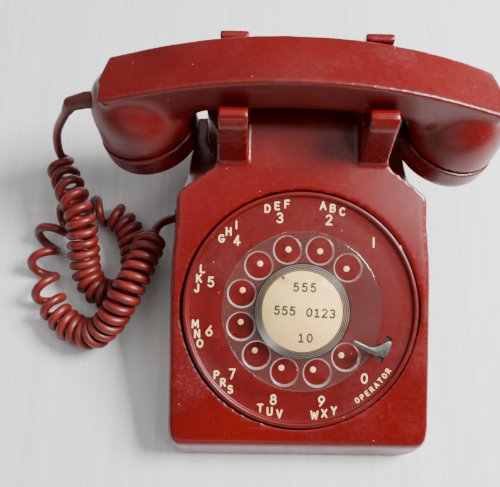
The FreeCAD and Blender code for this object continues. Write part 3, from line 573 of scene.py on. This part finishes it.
# Each sign is drawn on a field one unit high, its strokes from left to right.
SIGNS = {
    "A": [[(0, 0), (0.36, 1)], [(0.36, 1), (0.72, 0)], [(0.13, 0.34), (0.59, 0.34)]],
    "B": [[(0, 0), (0, 1), (0.3, 1)] + bow(0.3, 0.76, 0.27, 0.24, 90, -90), [(0, 0.52), (0.3, 0.52)],
          [(0.3, 0.52)] + bow(0.32, 0.26, 0.3, 0.26, 90, -90) + [(0, 0)]],
    "C": [bow(0.36, 0.5, 0.36, 0.5, 48, 312)],
    "D": [[(0, 0), (0, 1), (0.25, 1)] + bow(0.25, 0.5, 0.4, 0.5, 90, -90) + [(0, 0)]],
    "E": [[(0.55, 1), (0, 1), (0, 0), (0.55, 0)], [(0, 0.52), (0.46, 0.52)]],
    "F": [[(0.55, 1), (0, 1), (0, 0)], [(0, 0.52), (0.46, 0.52)]],
    "G": [bow(0.36, 0.5, 0.36, 0.5, 50, 350) + [(0.72, 0.42)], [(0.42, 0.44), (0.72, 0.44)]],
    "H": [[(0, 0), (0, 1)], [(0.6, 0), (0.6, 1)], [(0, 0.5), (0.6, 0.5)]],
    "I": [[(0, 0), (0, 1)]],
    "J": [[(0.45, 1), (0.45, 0.25)] + bow(0.22, 0.25, 0.23, 0.25, 0, -170)],
    "K": [[(0, 0), (0, 1)], [(0.58, 1), (0, 0.42)], [(0.2, 0.6), (0.62, 0)]],
    "L": [[(0, 1), (0, 0), (0.52, 0)]],
    "M": [[(0, 0), (0.06, 1)], [(0.06, 1), (0.4, 0.25)], [(0.4, 0.25), (0.74, 1)], [(0.74, 1), (0.8, 0)]],
    "N": [[(0, 0), (0, 1)], [(0, 1), (0.62, 0)], [(0.62, 0), (0.62, 1)]],
    "O": [bow(0.36, 0.5, 0.36, 0.5, 90, 450)],
    "P": [[(0, 0), (0, 1), (0.3, 1)] + bow(0.3, 0.73, 0.28, 0.27, 90, -90) + [(0, 0.46)]],
    "R": [[(0, 0), (0, 1), (0.3, 1)] + bow(0.3, 0.74, 0.27, 0.26, 90, -90) + [(0, 0.48)],
          [(0.28, 0.48), (0.6, 0)]],
    "S": [bow(0.3, 0.76, 0.27, 0.24, 35, 270, 12) + bow(0.3, 0.27, 0.3, 0.27, 90, -150, 12)],
    "T": [[(0, 1), (0.66, 1)], [(0.33, 1), (0.33, 0)]],
    "U": [[(0, 1), (0, 0.3)] + bow(0.31, 0.3, 0.31, 0.3, 180, 360) + [(0.62, 1)]],
    "V": [[(0, 1), (0.34, 0)], [(0.34, 0), (0.68, 1)]],
    "W": [[(0, 1), (0.22, 0)], [(0.22, 0), (0.46, 0.8)], [(0.46, 0.8), (0.7, 0)], [(0.7, 0), (0.92, 1)]],
    "X": [[(0, 0), (0.62, 1)], [(0, 1), (0.62, 0)]],
    "Y": [[(0, 1), (0.33, 0.46)], [(0.66, 1), (0.33, 0.46)], [(0.33, 0.46), (0.33, 0)]],
    "0": [bow(0.3, 0.5, 0.3, 0.5, 90, 450)],
    "1": [[(0, 0), (0, 1)]],
    "2": [bow(0.28, 0.73, 0.27, 0.27, 160, -30, 12) + [(0, 0)], [(0, 0), (0.58, 0)]],
    "3": [bow(0.26, 0.75, 0.26, 0.25, 150, -90, 12), bow(0.26, 0.26, 0.3, 0.26, 90, -150, 12)],
    "4": [[(0.4, 0), (0.4, 1)], [(0.4, 1), (0, 0.28)], [(0, 0.28), (0.6, 0.28)]],
    "5": [[(0.5, 1), (0.08, 1)], [(0.08, 1), (0.04, 0.55)], bow(0.25, 0.32, 0.29, 0.32, 132, -150, 14)],
    "6": [[(0.46, 1), (0.12, 0.55)], bow(0.29, 0.3, 0.29, 0.3, 0, 360)],
    "7": [[(0, 1), (0.56, 1)], [(0.56, 1), (0.2, 0)]],
    "8": [bow(0.29, 0.76, 0.23, 0.24, 90, 450), bow(0.29, 0.27, 0.28, 0.27, 90, 450)],
    "9": [bow(0.29, 0.7, 0.29, 0.3, 0, 360), [(0.12, 0), (0.46, 0.45)]],
    "typed 1": [[(0.05, 0.82), (0.28, 1), (0.28, 0)], [(0.02, 0), (0.54, 0)]],
}


def stroke(points, pen, thick, base):
    """Flat bar with round ends along points (u, v in millimetres), base(radius) above the dial's plane."""
    line = np.array(points, float)
    reach = np.concatenate([[0], np.cumsum(np.linalg.norm(np.diff(line, axis=0), axis=1))])
    spots = np.linspace(0, reach[-1], max(4, int(reach[-1] / 0.35)))
    line = np.stack([np.interp(spots, reach, line[:, i]) for i in range(2)], 1)
    ways = np.gradient(line, axis=0)
    ways /= np.linalg.norm(ways, axis=1)[:, None]
    ends = [(math.sin(a), math.cos(a)) for a in np.linspace(math.pi / 2, 0, 5)[:-1]]
    rows = [(line[0] - ways[0] * pen * s, ways[0], max(c, 0.05)) for s, c in ends]
    rows += [(p, w, 1.0) for p, w in zip(line, ways)]
    rows += [(line[-1] + ways[-1] * pen * s, ways[-1], max(c, 0.05)) for s, c in reversed(ends)]
    section = [(-1.0, 0.0), (-0.8, 0.75), (0.0, 1.0), (0.8, 0.75), (1.0, 0.0)]
    found, faces = [], []
    for place, way, share in rows:
        side = np.array([way[1], -way[0]])
        for across, up in section:
            u, v = place + side * pen * share * across
            height = base(math.hypot(u, v)) + thick * up * min(1.0, share + 0.2)
            found.append(on_dial(u * MM, v * MM, height * MM))
    wide = len(section)
    for i in range(len(rows) - 1):
        for k in range(wide):
            following = (k + 1) % wide
            faces.append((i * wide + k, i * wide + following, (i + 1) * wide + following, (i + 1) * wide + k))
    faces.append(tuple(range(wide)))
    faces.append(tuple(reversed(range((len(rows) - 1) * wide, len(rows) * wide))))
    return found, faces


def lettering(name, signs, pen, thick, base):
    """signs holds (character, u, v, height, turn) in millimetres and degrees, each centred on its spot."""
    points, faces = [], []
    for character, u, v, high, degrees in signs:
        c, s = math.cos(math.radians(degrees)), math.sin(math.radians(degrees))
        strokes = SIGNS[character]
        width = max(x for part in strokes for x, _ in part)
        for part in strokes:
            spots = [((x - width / 2) * high, (y - 0.5) * high) for x, y in part]
            more, sides = stroke([(u + x * c - y * s, v + x * s + y * c) for x, y in spots], pen, thick, base)
            faces.extend(tuple(i + len(points) for i in side) for side in sides)
            points.extend(more)
    thing = new_object(name, points, faces)
    tidy_normals(thing)
    return thing


LETTER_R, NUMBER_R, OPERATOR_R = 62.4, 55.2, 62.8
LONE_R = 58.3                         # the 1 has no letters and stands further out
DIGIT_HIGH, LETTER_HIGH, OPERATOR_HIGH = 5.3, 4.1, 2.7
GROUPS = {"1": (43.5, ""), "2": (73.4, "ABC"), "3": (103.8, "DEF"), "4": (133.7, "GHI"), "5": (163.9, "LKJ"),
          "6": (194.0, "MNO"), "7": (224.0, "PRS"), "8": (253.9, "TUV"), "9": (283.7, "WXY"), "0": (313.6, "")}
SPREAD = 5.4                         # degrees between letters
signs = []
for digit, (angle, letters) in GROUPS.items():
    radius = LONE_R if digit == "1" else NUMBER_R
    at = math.radians(angle)
    signs.append((digit, radius * math.cos(at), radius * math.sin(at), DIGIT_HIGH, 0.0))
    ordered = letters if angle > 150 else reversed(letters)
    for place, letter in enumerate(ordered):
        at = math.radians(angle + (place - 1) * SPREAD)
        signs.append((letter, LETTER_R * math.cos(at), LETTER_R * math.sin(at), LETTER_HIGH, 0.0))
OPERATOR_FIRST, OPERATOR_STEP = 302.8, 3.29
small_signs = []
for place, letter in enumerate("OPERATOR"):
    degrees = OPERATOR_FIRST + place * OPERATOR_STEP
    at = math.radians(degrees)
    across, up = OPERATOR_R * math.cos(at), OPERATOR_R * math.sin(at)
    small_signs.append((letter, across, up, OPERATOR_HIGH, degrees - 270))


def cream_fill():
    """Cream paint wiped into the engraving: uneven, a little dirty."""
    material, tree = blank("cream_filling_paint")
    mm = (millimetres(tree), 0)
    colour = laid(tree, between(tree, noise(tree, mm, 0.5, 3.0), 0.45, 0.75), "#FFE9A6", "#E6C884")
    paint = add(tree, "ShaderNodeBsdfPrincipled", {"Roughness": 0.5, "IOR": 1.5}, {"Base Color": colour})
    finish_with(tree, paint)
    return material


CREAM = cream_fill()


def ring_surface(radius):
    """Height of the painted face, in millimetres."""
    return 0.02 + 0.36 * min(max((radius - (rim - 9.5)) / 6.3, 0.0), 1.0)


for name, row, pen in [("ring_lettering", signs, 0.5), ("ring_word", small_signs, 0.33)]:
    writing = lettering(name, row, pen, 0.09, ring_surface)
    writing.data.materials.append(CREAM)
    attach(writing, "base")
TARGET_R, DOT_R = 36.0, 1.75
dots, dot_faces = [], []
for k in range(10):
    angle = math.radians(42.5 + 30 * k)
    middle = TARGET_R * math.cos(angle), TARGET_R * math.sin(angle)
    rows = [(1.0, 0.0), (0.85, 0.09), (0.5, 0.12)]
    start = len(dots)
    for share, up in rows:
        dots.extend(on_dial((middle[0] + DOT_R * share * math.cos(a)) * MM,
                            (middle[1] + DOT_R * share * math.sin(a)) * MM, (0.02 + up) * MM)
                    for a in np.linspace(0, 2 * math.pi, 24, endpoint=False))
    for row in range(2):
        for j in range(24):
            a, b = start + row * 24 + j, start + row * 24 + (j + 1) % 24
            dot_faces.append((a, b, b + 24, a + 24))
    dot_faces.append(tuple(range(start + 48, start + 72)))
    dot_faces.append(tuple(reversed(range(start, start + 24))))
targets = new_object("target_dots", dots, dot_faces)
tidy_normals(targets)
targets.data.materials.append(CREAM)
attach(targets, "base")

# ---------------------------------------------------------------- finger wheel
# A disc of clear acrylic with ten finger holes, their rims chamfered and polished.
# It has gone slightly grey and hazy with scratches. A screw under the card holds it on the shaft.
WHEEL_TOP, WHEEL_T = 10.2, 3.4
WHEEL_R, HOLE_CIRCLE, HOLE_R = 46.1, 36.1, 7.5
HOLE_FIRST, HOLE_STEP = 44.5, 30.0
CARD_R = 23.8


def clear_plastic(name, tint, haze, dullness, haze_amount, passes="#F1E9E6"):
    """Clear acrylic: it refracts, lets lamps through, and carries a grey haze of fine scratches."""
    material, tree = blank(name)
    mm = (millimetres(tree), 0)
    swirls = between(tree, noise(tree, mm, 1.0, 5.0, (0.6, 0.06, 0.3), (0.0, 0.0, 0.6)), 0.45, 0.7)
    dusty = between(tree, noise(tree, mm, 0.06, 5.0), 0.35, 0.7)
    rough = between(tree, swirls, 0.0, 1.0, dullness + 0.12, dullness)
    clear = add(tree, "ShaderNodeBsdfPrincipled",
                {"Base Color": linear(tint), "IOR": 1.49, "Transmission Weight": 1.0}, {"Roughness": rough})
    milky = add(tree, "ShaderNodeBsdfPrincipled",
                {"Base Color": linear(haze), "Roughness": 0.35, "IOR": 1.49})
    amount = add(tree, "ShaderNodeMath",
                 {"operation": "MULTIPLY_ADD", 1: haze_amount * 0.7, 2: haze_amount * 0.6}, {0: dusty})
    body = add(tree, "ShaderNodeMixShader", {}, {0: (amount, 0), 1: (clear, 0), 2: (milky, 0)})
    light = add(tree, "ShaderNodeLightPath")
    open_to_lamps = add(tree, "ShaderNodeBsdfTransparent", {"Color": linear(passes)})
    whole = add(tree, "ShaderNodeMixShader", {},
                {0: (light, "Is Shadow Ray"), 1: (body, 0), 2: (open_to_lamps, 0)})
    finish_with(tree, whole)
    return material


low = WHEEL_TOP - WHEEL_T
wheel = lathe("finger_wheel_turned", softened(
    [(3.0, low - 5.6, 0), (9.0, low - 5.6, 0.4), (9.0, low, 0.6), (WHEEL_R, low, 0.9),
     (WHEEL_R, WHEEL_TOP, 1.0), (CARD_R + 0.3, WHEEL_TOP, 0.15), (CARD_R + 0.3, WHEEL_TOP - 1.6, 0),
     (3.0, WHEEL_TOP - 1.6, 0)]), 160)
tool_points, tool_faces = [], []
for k in range(10):
    angle = math.radians(HOLE_FIRST + HOLE_STEP * k)
    at = on_dial(HOLE_CIRCLE * math.cos(angle) * MM, HOLE_CIRCLE * math.sin(angle) * MM, 0) - dial_centre
    tool = lathe("hole_tool", [(r * MM, h * MM) for r, h in [
        (0, low - 1.1), (HOLE_R + 1.1, low - 1.1), (HOLE_R + 0.35, low - 0.04), (HOLE_R, low + 0.5),
        (HOLE_R, WHEEL_TOP - 1.0), (HOLE_R + 0.25, WHEEL_TOP - 0.45), (HOLE_R + 0.9, WHEEL_TOP + 0.03),
        (HOLE_R + 1.5, WHEEL_TOP + 0.7), (0, WHEEL_TOP + 0.7)]], 72, closed=False)
    tool_faces.extend([i + len(tool_points) for i in face.vertices] for face in tool.data.polygons)
    tool_points.extend(vertex.co + at for vertex in tool.data.vertices)
    bpy.data.objects.remove(tool)
cut(wheel, new_object("hole_tools", tool_points, tool_faces))
tidy_normals(wheel, 28)
wheel.data.materials.append(clear_plastic("hazed_clear_acrylic", "#E3D8D5", "#6E6462", 0.03, 0.08, "#DDD5D2"))
# The hole walls and chamfers get a paler, milkier copy of the acrylic: partly finger wear, partly a painted
# highlight for the bright rims.
wheel.data.materials.append(clear_plastic("hole_edge_wear_and_painted_highlight", "#EFE4E0", "#C9B8B2", 0.12, 0.42, "#DDD5D2"))
hole_spots = [on_dial(HOLE_CIRCLE * math.cos(a) * MM, HOLE_CIRCLE * math.sin(a) * MM, 0)
              for a in (math.radians(HOLE_FIRST + HOLE_STEP * k) for k in range(10))]
for face in wheel.data.polygons:
    ways = [face.center - spot for spot in hole_spots]
    nearest = min((way - DIAL_OUT * way.dot(DIAL_OUT)).length for way in ways)
    if nearest < (HOLE_R + 1.2) * MM and abs(face.normal.dot(DIAL_OUT)) < 0.97:
        face.material_index = 1
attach(wheel, "dial")
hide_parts("finger_wheel")

# ---------------------------------------------------------------- number card and its window
# A disc of cream card, typed with the line's number, under a thin clear cap that snaps into the wheel.
# The cap's border is finely grooved and hides the card's cut edge. The card has yellowed and has one pinhole.
WINDOW_R = 27.7
card = lathe("number_card_punched", [(r * MM, h * MM) for r, h in [
    (0, WHEEL_TOP - 1.2), (CARD_R - 0.1, WHEEL_TOP - 1.2), (CARD_R, WHEEL_TOP - 1.05),
    (CARD_R - 0.1, WHEEL_TOP - 0.93), (0, WHEEL_TOP - 0.93)]], 96, closed=False)


def yellowed_card():
    """Cream card: fibres, slow yellowing, a brown stain round the pinhole, and painted shade in the pinhole
    itself.
    """
    material, tree = blank("yellowed_card")
    mm = (millimetres(tree), 0)
    slow = between(tree, noise(tree, mm, 0.05, 3.0), 0.35, 0.65)
    colour = laid(tree, slow, "#E8D285", "#D9C074")
    fibres = between(tree, noise(tree, mm, 1.0, 6.0, (2.2, 0.5, 1.0), (0.0, 0.0, 0.4)), 0.45, 0.8, 0.35)
    colour = laid(tree, fibres, colour, "#BFA77A")
    pin = on_dial(-11.2 * MM, 18.9 * MM, (WHEEL_TOP - 0.93) * MM) / MM
    away = add(tree, "ShaderNodeVectorMath", {"operation": "DISTANCE", 1: tuple(pin)}, {0: mm})
    cloudy = between(tree, noise(tree, mm, 0.3, 4.0), 0.35, 0.6)
    blot = times(tree, between(tree, (away, "Value"), 6.5, 1.5), cloudy)
    colour = laid(tree, between(tree, blot, 0.0, 1.0, 0.7), colour, "#B08D55")
    # The pinhole is a near-black spot on the card: painted shade for the dark inside of the hole.
    pinhole_shade = between(tree, (away, "Value"), 1.0, 0.8)
    colour = laid(tree, pinhole_shade, colour, "#120D0A")
    paper = add(tree, "ShaderNodeBsdfPrincipled", {"Roughness": 0.85, "IOR": 1.45}, {"Base Color": colour})
    finish_with(tree, paper)
    return material


card.data.materials.append(yellowed_card())
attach(card, "dial")
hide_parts("number_card")

TYPE_HIGH = 4.5
typed = []
for words, u, v, lean, step in [("555", 1.2, 13.6, -1.0, 4.9), ("555", -10.0, 0.2, -2.0, 4.4),
                               ("0123", 10.6, -0.9, -2.5, 4.4), ("10", 2.0, -15.2, -1.5, 4.9)]:
    for place, digit in enumerate(words):
        across = (place - (len(words) - 1) / 2) * step
        shape = "typed 1" if digit == "1" else digit
        typed.append((shape, u + across, v + across * math.sin(math.radians(lean)), TYPE_HIGH, lean))
typing = lettering("typed_number", typed, 0.56, 0.02, lambda radius: WHEEL_TOP - 0.925)


def ribbon_ink():
    """Black ribbon ink, thinner where the type struck lightly."""
    material, tree = blank("typewriter_ribbon_ink")
    mm = (millimetres(tree), 0)
    colour = laid(tree, between(tree, noise(tree, mm, 1.6, 3.0), 0.4, 0.75), "#141210", "#2E2A24")
    ink = add(tree, "ShaderNodeBsdfPrincipled", {"Roughness": 0.8, "IOR": 1.45}, {"Base Color": colour})
    finish_with(tree, ink)
    return material


typing.data.materials.append(ribbon_ink())
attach(typing, "dial")

GROOVE_PITCH = 0.95
grooves = []
radius = WINDOW_R - 0.35
while radius > CARD_R - 0.9:
    grooves += [(radius, WHEEL_TOP + 0.62), (radius - GROOVE_PITCH / 2, WHEEL_TOP + 0.28)]
    radius -= GROOVE_PITCH
profile = [(0, WHEEL_TOP - 0.88), (CARD_R - 0.3, WHEEL_TOP - 0.88), (CARD_R, WHEEL_TOP - 0.7),
           (CARD_R, WHEEL_TOP + 0.02), (WINDOW_R - 0.2, WHEEL_TOP + 0.02), (WINDOW_R, WHEEL_TOP + 0.15),
           (WINDOW_R - 0.05, WHEEL_TOP + 0.42)]
profile += grooves + [(radius - 0.1, WHEEL_TOP + 0.45), (0, WHEEL_TOP + 0.45)]
window_cap = lathe("card_window_turned", [(r * MM, h * MM) for r, h in profile], 192, closed=False)
tidy_normals(window_cap, 25)
window_cap.data.materials.append(clear_plastic("clear_styrene_cap", "#F6EFE6", "#8A8176", 0.02, 0.03))
# The border's groove flanks take turns between a dark and a pale copy of the clear plastic: painted shade on one
# flank, painted highlight on the next.
window_cap.data.materials.append(clear_plastic("groove_flank_painted_shade", "#43362B", "#18120E", 0.05, 0.8))
window_cap.data.materials.append(clear_plastic("groove_flank_painted_highlight", "#B5A693", "#83766A", 0.05, 0.8))
for face in window_cap.data.polygons:
    reach = (face.center - dial_centre).dot(DIAL_OUT)
    reach = ((face.center - dial_centre).length_squared - reach * reach) ** 0.5 / MM
    if reach > CARD_R - 0.8:
        face.material_index = 1 + int((WINDOW_R - 0.35 - reach) / (GROOVE_PITCH / 2)) % 2
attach(window_cap, "dial")
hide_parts("card_window")

# ---------------------------------------------------------------- finger stop
# A hooked arm pressed from steel plate, its edges tumbled round, brushed and nickel plated.
# Its foot goes through the slots in the ring and is riveted to the dial's frame.
STOP_ARM = [(29.0, -15.4), (32.3, -16.7), (36.9, -19.2), (41.4, -19.5), (45.2, -17.8), (48.2, -15.8),
            (50.6, -16.2), (50.6, -18.6), (48.3, -24.0), (45.7, -24.9), (39.6, -23.4), (33.5, -20.1),
            (28.3, -17.1)]
STOP_LOW, STOP_HIGH = 11.6, 13.0
STOP_POST, POST_HALF = (48.0, -21.3), (1.0, 2.2)


def eased(outline, rounds):
    """Outline with its corners cut again and again until it is a smooth line."""
    for _ in range(rounds):
        pairs = list(zip(outline, outline[1:] + outline[:1]))
        outline = [(a[0] * (1 - t) + b[0] * t, a[1] * (1 - t) + b[1] * t)
                   for a, b in pairs for t in (0.25, 0.75)]
    return outline


def edged(thing, width, steps=3):
    """Rounds the sharp edges of a plate by width metres."""
    modifier = thing.modifiers.new("edge", "BEVEL")
    modifier.width = width
    modifier.segments = steps
    modifier.limit_method = "ANGLE"
    modifier.angle_limit = math.radians(40)
    bpy.context.view_layer.update()
    fresh = bpy.data.meshes.new_from_object(thing.evaluated_get(bpy.context.evaluated_depsgraph_get()))
    thing.modifiers.clear()
    thing.data = fresh
    fresh.polygons.foreach_set("use_smooth", [True] * len(fresh.polygons))
    fresh.set_sharp_from_angle(angle=math.radians(50))


arm_plan = [(u * MM, v * MM) for u, v in eased(STOP_ARM, 3)]
stop = prism("finger_stop_pressed", arm_plan, STOP_LOW * MM, STOP_HIGH * MM)
edged(stop, 0.45 * MM)
away = math.degrees(math.atan2(STOP_POST[1], STOP_POST[0]))
foot = turned_plate(*STOP_POST, 2 * POST_HALF[0], 2 * POST_HALF[1], away)
post = prism("finger_stop_post", foot, 0.05 * MM, (STOP_LOW + 0.3) * MM)
edged(post, 0.3 * MM)


def brushed_steel(name, light, dark, dullness):
    """Brushed along X: fine long lines in tone and gloss, with a few dull spots."""
    material, tree = blank(name)
    mm = (millimetres(tree), 0)
    lines = noise(tree, mm, 1.0, 4.0, (0.35, 5.0, 5.0), (0.0, 0.0, 0.3))
    spots = between(tree, noise(tree, mm, 0.5, 5.0), 0.55, 0.75, 0.6)
    colour = laid(tree, between(tree, lines, 0.35, 0.65), dark, light)
    colour = laid(tree, spots, colour, dark)
    rough = between(tree, lines, 0.3, 0.7, dullness + 0.14, dullness)
    bump = add(tree, "ShaderNodeBump", {"Strength": 0.25, "Distance": 0.00003}, {"Height": lines})
    steel = add(tree, "ShaderNodeBsdfPrincipled", {"Metallic": 1.0},
                {"Base Color": colour, "Roughness": rough, "Normal": (bump, 0)})
    finish_with(tree, steel)
    return material


NICKEL = brushed_steel("brushed_nickel_steel", "#A6A7A3", "#737471", 0.26)
for thing in (stop, post):
    thing.data.materials.append(NICKEL)
    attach(thing, "base")
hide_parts("finger_stop")

# ---------------------------------------------------------------- handset
# Two screw-on caps and a hollow handle, moulded in red plastic. The back is a flat arched strip.
# The cups swell out below it. The cord comes out of the left cup through a rubber boot.

HANDSET_AT = (-1.3, 87.2, 124.0)      # middle of its back, in millimetres
YAW, LEAN = math.radians(-1.3), math.radians(-12.0)
HANDSET_TURN = np.array(Matrix.Rotation(YAW, 3, "Z") @ Matrix.Rotation(LEAN, 3, "X"))
CUP_X, CUP_DROP, CUP_TILT = 93.0, 57.0, math.radians(12.0)
HANDLE_HALF_WIDTH = 18.0
BACK_R = 301.0                        # radius of the arched back


def under_back(points):
    """Points in the handset's own millimetres, and how far each lies under the arched back."""
    here = (points / MM - HANDSET_AT) @ HANDSET_TURN
    return here, np.abs(BACK_R ** 2 - here[:, 0] ** 2) ** 0.5 - BACK_R - here[:, 2]


def handset_rounding(points):
    """The cups flow into the handle; the crisp strip along the back is left alone."""
    here, depth = under_back(points)
    across, below = np.abs(here[:, 0]) - CUP_X, here[:, 2] + CUP_DROP
    height = below * math.cos(CUP_TILT) + across * math.sin(CUP_TILT)
    sides = np.clip((depth - 3) / 8, 0, 1) * np.clip((across + 46) / 18, 0, 1)
    return sides * np.clip((height - 4) / 7, 0, 1)


def bowed_ends(thing):
    """Draws the ends of the back out in a shallow bow that leans forward and dies away down the cups."""
    points = np.empty(len(thing.data.vertices) * 3)
    thing.data.vertices.foreach_get("co", points)
    points = points.reshape(-1, 3)
    here, depth = under_back(points)
    side, across = np.sign(here[:, 0]), here[:, 1] / HANDLE_HALF_WIDTH
    reach = np.clip((np.abs(here[:, 0]) - 84) / 27, 0, 1) ** 2 * np.clip(1 - depth / 26, 0, 1)
    longer, skewed = np.where(side < 0, 3.2, 0.6), np.where(side < 0, 0.9, 1.6)
    bow = longer + 2.4 * (1 - across ** 2) - skewed * across
    points += np.outer(side * reach * bow * MM, HANDSET_TURN[:, 0])
    thing.data.vertices.foreach_set("co", points.ravel())
    thing.data.update()


shell = evened("handset_shell", 1.1 * MM, 2, handset_rounding, 90)
bowed_ends(shell)
shell.data.materials.append(
    red_plastic("red_abs_handset", "#660605", "#5C0505", "#A0625A", gloss=0.27, rub=0.08))
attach(shell, "handset")
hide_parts("handset_shell")
for node in ("transmitter_cap", "receiver_cap"):
    cap = evened(node, 0.8 * MM, 3)
    cap.data.materials.append(
        red_plastic("red_abs_" + node, "#5A0605", "#510504", "#9A5E54", gloss=0.22, rub=0.2))
    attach(cap, "handset")
    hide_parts(node)

boot = evened("handset_cord_boot", 0.45 * MM, 2)


def soft_rubber(name, main, dusty):
    """Moulded rubber with a dry bloom."""
    material, tree = blank(name)
    mm = (millimetres(tree), 0)
    colour = laid(tree, between(tree, noise(tree, mm, 0.25, 5.0), 0.4, 0.75), main, dusty)
    grit = noise(tree, mm, 1.8, 3.0)
    bump = add(tree, "ShaderNodeBump", {"Strength": 0.2, "Distance": 0.00015}, {"Height": grit})
    rubber = add(tree, "ShaderNodeBsdfPrincipled", {"Roughness": 0.55, "IOR": 1.5},
                 {"Base Color": colour, "Normal": (bump, 0)})
    finish_with(tree, rubber)
    return material


boot.data.materials.append(soft_rubber("red_rubber_boot", "#4A150E", "#62291F"))
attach(boot, "handset")
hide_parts("handset_cord_boot")

# ---------------------------------------------------------------- housing's small fittings
# Black moulded plungers in the cradle, the rubber grommet where the cord enters, the line cord's socket at
# the back, and the ridged loudness wheel under the right edge. They are moulded, and push or snap into place.


def dressed(node, material, width=0.0, degrees=35):
    """A CAD piece in its own mesh, with eased edges and a real material."""
    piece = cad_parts[node]
    if width:
        bevel = piece.modifiers.new("eased_edges", "BEVEL")
        bevel.width = width
        bevel.segments = 2
        bevel.limit_method = "ANGLE"
        bevel.angle_limit = math.radians(degrees)
    piece.data.materials.clear()
    piece.data.materials.append(material)


BAKELITE = moulded_black("black_phenolic", "#17140F", "#3A332B", 0.32)
NYLON = moulded_black("black_nylon", "#1D1C1A", "#45403A", 0.42)
for node in ("plunger_left", "plunger_right"):
    plunger = evened(node, 0.4 * MM, 2)
    plunger.data.materials.append(NYLON)
    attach(plunger, node)
    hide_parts(node)
grommet = evened("handset_cord_grommet", 0.4 * MM, 2)
grommet.data.materials.append(soft_rubber("red_rubber_grommet", "#581610", "#703528"))
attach(grommet, "base")
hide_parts("handset_cord_grommet")
dressed("volume_wheel", NYLON, 0.25 * MM)
dressed("line_cord_socket", BAKELITE, 0.4 * MM)

# ---------------------------------------------------------------- base
# Pressed steel plate, stove enamelled grey-black, on four round rubber feet.
# Two screws go up from it into the housing.


def enamel(name, tone, chipped):
    """Baked enamel, slightly uneven, with small rubbed spots."""
    material, tree = blank(name)
    mm = (millimetres(tree), 0)
    colour = laid(tree, between(tree, noise(tree, mm, 0.2, 7.0), 0.62, 0.72, 0.6), tone, chipped)
    peel = noise(tree, mm, 0.8, 3.0)
    bump = add(tree, "ShaderNodeBump", {"Strength": 0.3, "Distance": 0.00008}, {"Height": peel})
    paint = add(tree, "ShaderNodeBsdfPrincipled", {"Roughness": 0.45, "IOR": 1.5},
                {"Base Color": colour, "Normal": (bump, 0)})
    finish_with(tree, paint)
    return material


dressed("base_plate", enamel("stove_enamel", "#2A2A29", "#6B6863"), 0.3 * MM, 60)
feet = evened("base_feet", 0.5 * MM, 2)
feet.data.materials.append(soft_rubber("black_foot_rubber", "#191817", "#3B3833"))
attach(feet, "base")
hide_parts("base_feet")
ZINC = brushed_steel("zinc_plated_steel", "#C4BFA6", "#8C8770", 0.34)
dressed("housing_screws", ZINC, 0.2 * MM)

# ---------------------------------------------------------------- works inside
# What the closed housing hides: ringer, gongs, dial train, hook switch, network block and the capsules.
# Each keeps the CAD's shape and gets its own metal or moulding.
STEEL = brushed_steel("drawn_steel", "#B9B9B7", "#838381", 0.3)
BRASS = brushed_steel("turned_brass", "#D9B56A", "#9C7C3E", 0.28)
GONG = brushed_steel("gong_brass", "#D8BE86", "#A58A54", 0.2)


def varnished_copper():
    """Enamelled winding wire under brown varnish: fine turns, 0.2 mm apart."""
    material, tree = blank("varnished_winding")
    mm = (millimetres(tree), 0)
    bands = {"bands_direction": "Z", "Scale": 0.8, "Distortion": 0.3}
    turns = add(tree, "ShaderNodeTexWave", bands, {"Vector": mm})
    colour = laid(tree, (turns, "Fac"), "#5A2A12", "#8F4A22")
    wire = add(tree, "ShaderNodeBsdfPrincipled", {"Roughness": 0.35, "IOR": 1.55}, {"Base Color": colour})
    finish_with(tree, wire)
    return material


COPPER = varnished_copper()
INSIDE = [
    (STEEL, 0.1, "dial_shaft", "clapper", "dial_screws", "main_spring", "ringer_armature", "wheel_screw",
     "hookswitch_lever", "gong_post_left", "gong_post_right"),
    (ZINC, 0.2, "dial_frame", "dial_rear_plate", "dial_bracket_left", "dial_bracket_right",
     "hookswitch_bracket", "ringer_frame", "volume_bracket"),
    (GONG, 0.25, "gong_left", "gong_right"),
    (BRASS, 0.05, "main_gear", "pulse_pinion", "pulse_cam", "governor_pinion", "governor_weights",
     "governor_cup", "network_terminals"),
    (COPPER, 0.3, "ringer_coils"),
    (BAKELITE, 0.3, "network_block", "transmitter_cup", "hookswitch_contacts", "pulse_contacts"),
    (STEEL, 0.4, "transmitter_unit", "receiver_unit"),
]
for material, width, *inner in INSIDE:
    for node in inner:
        dressed(node, material, width * MM)
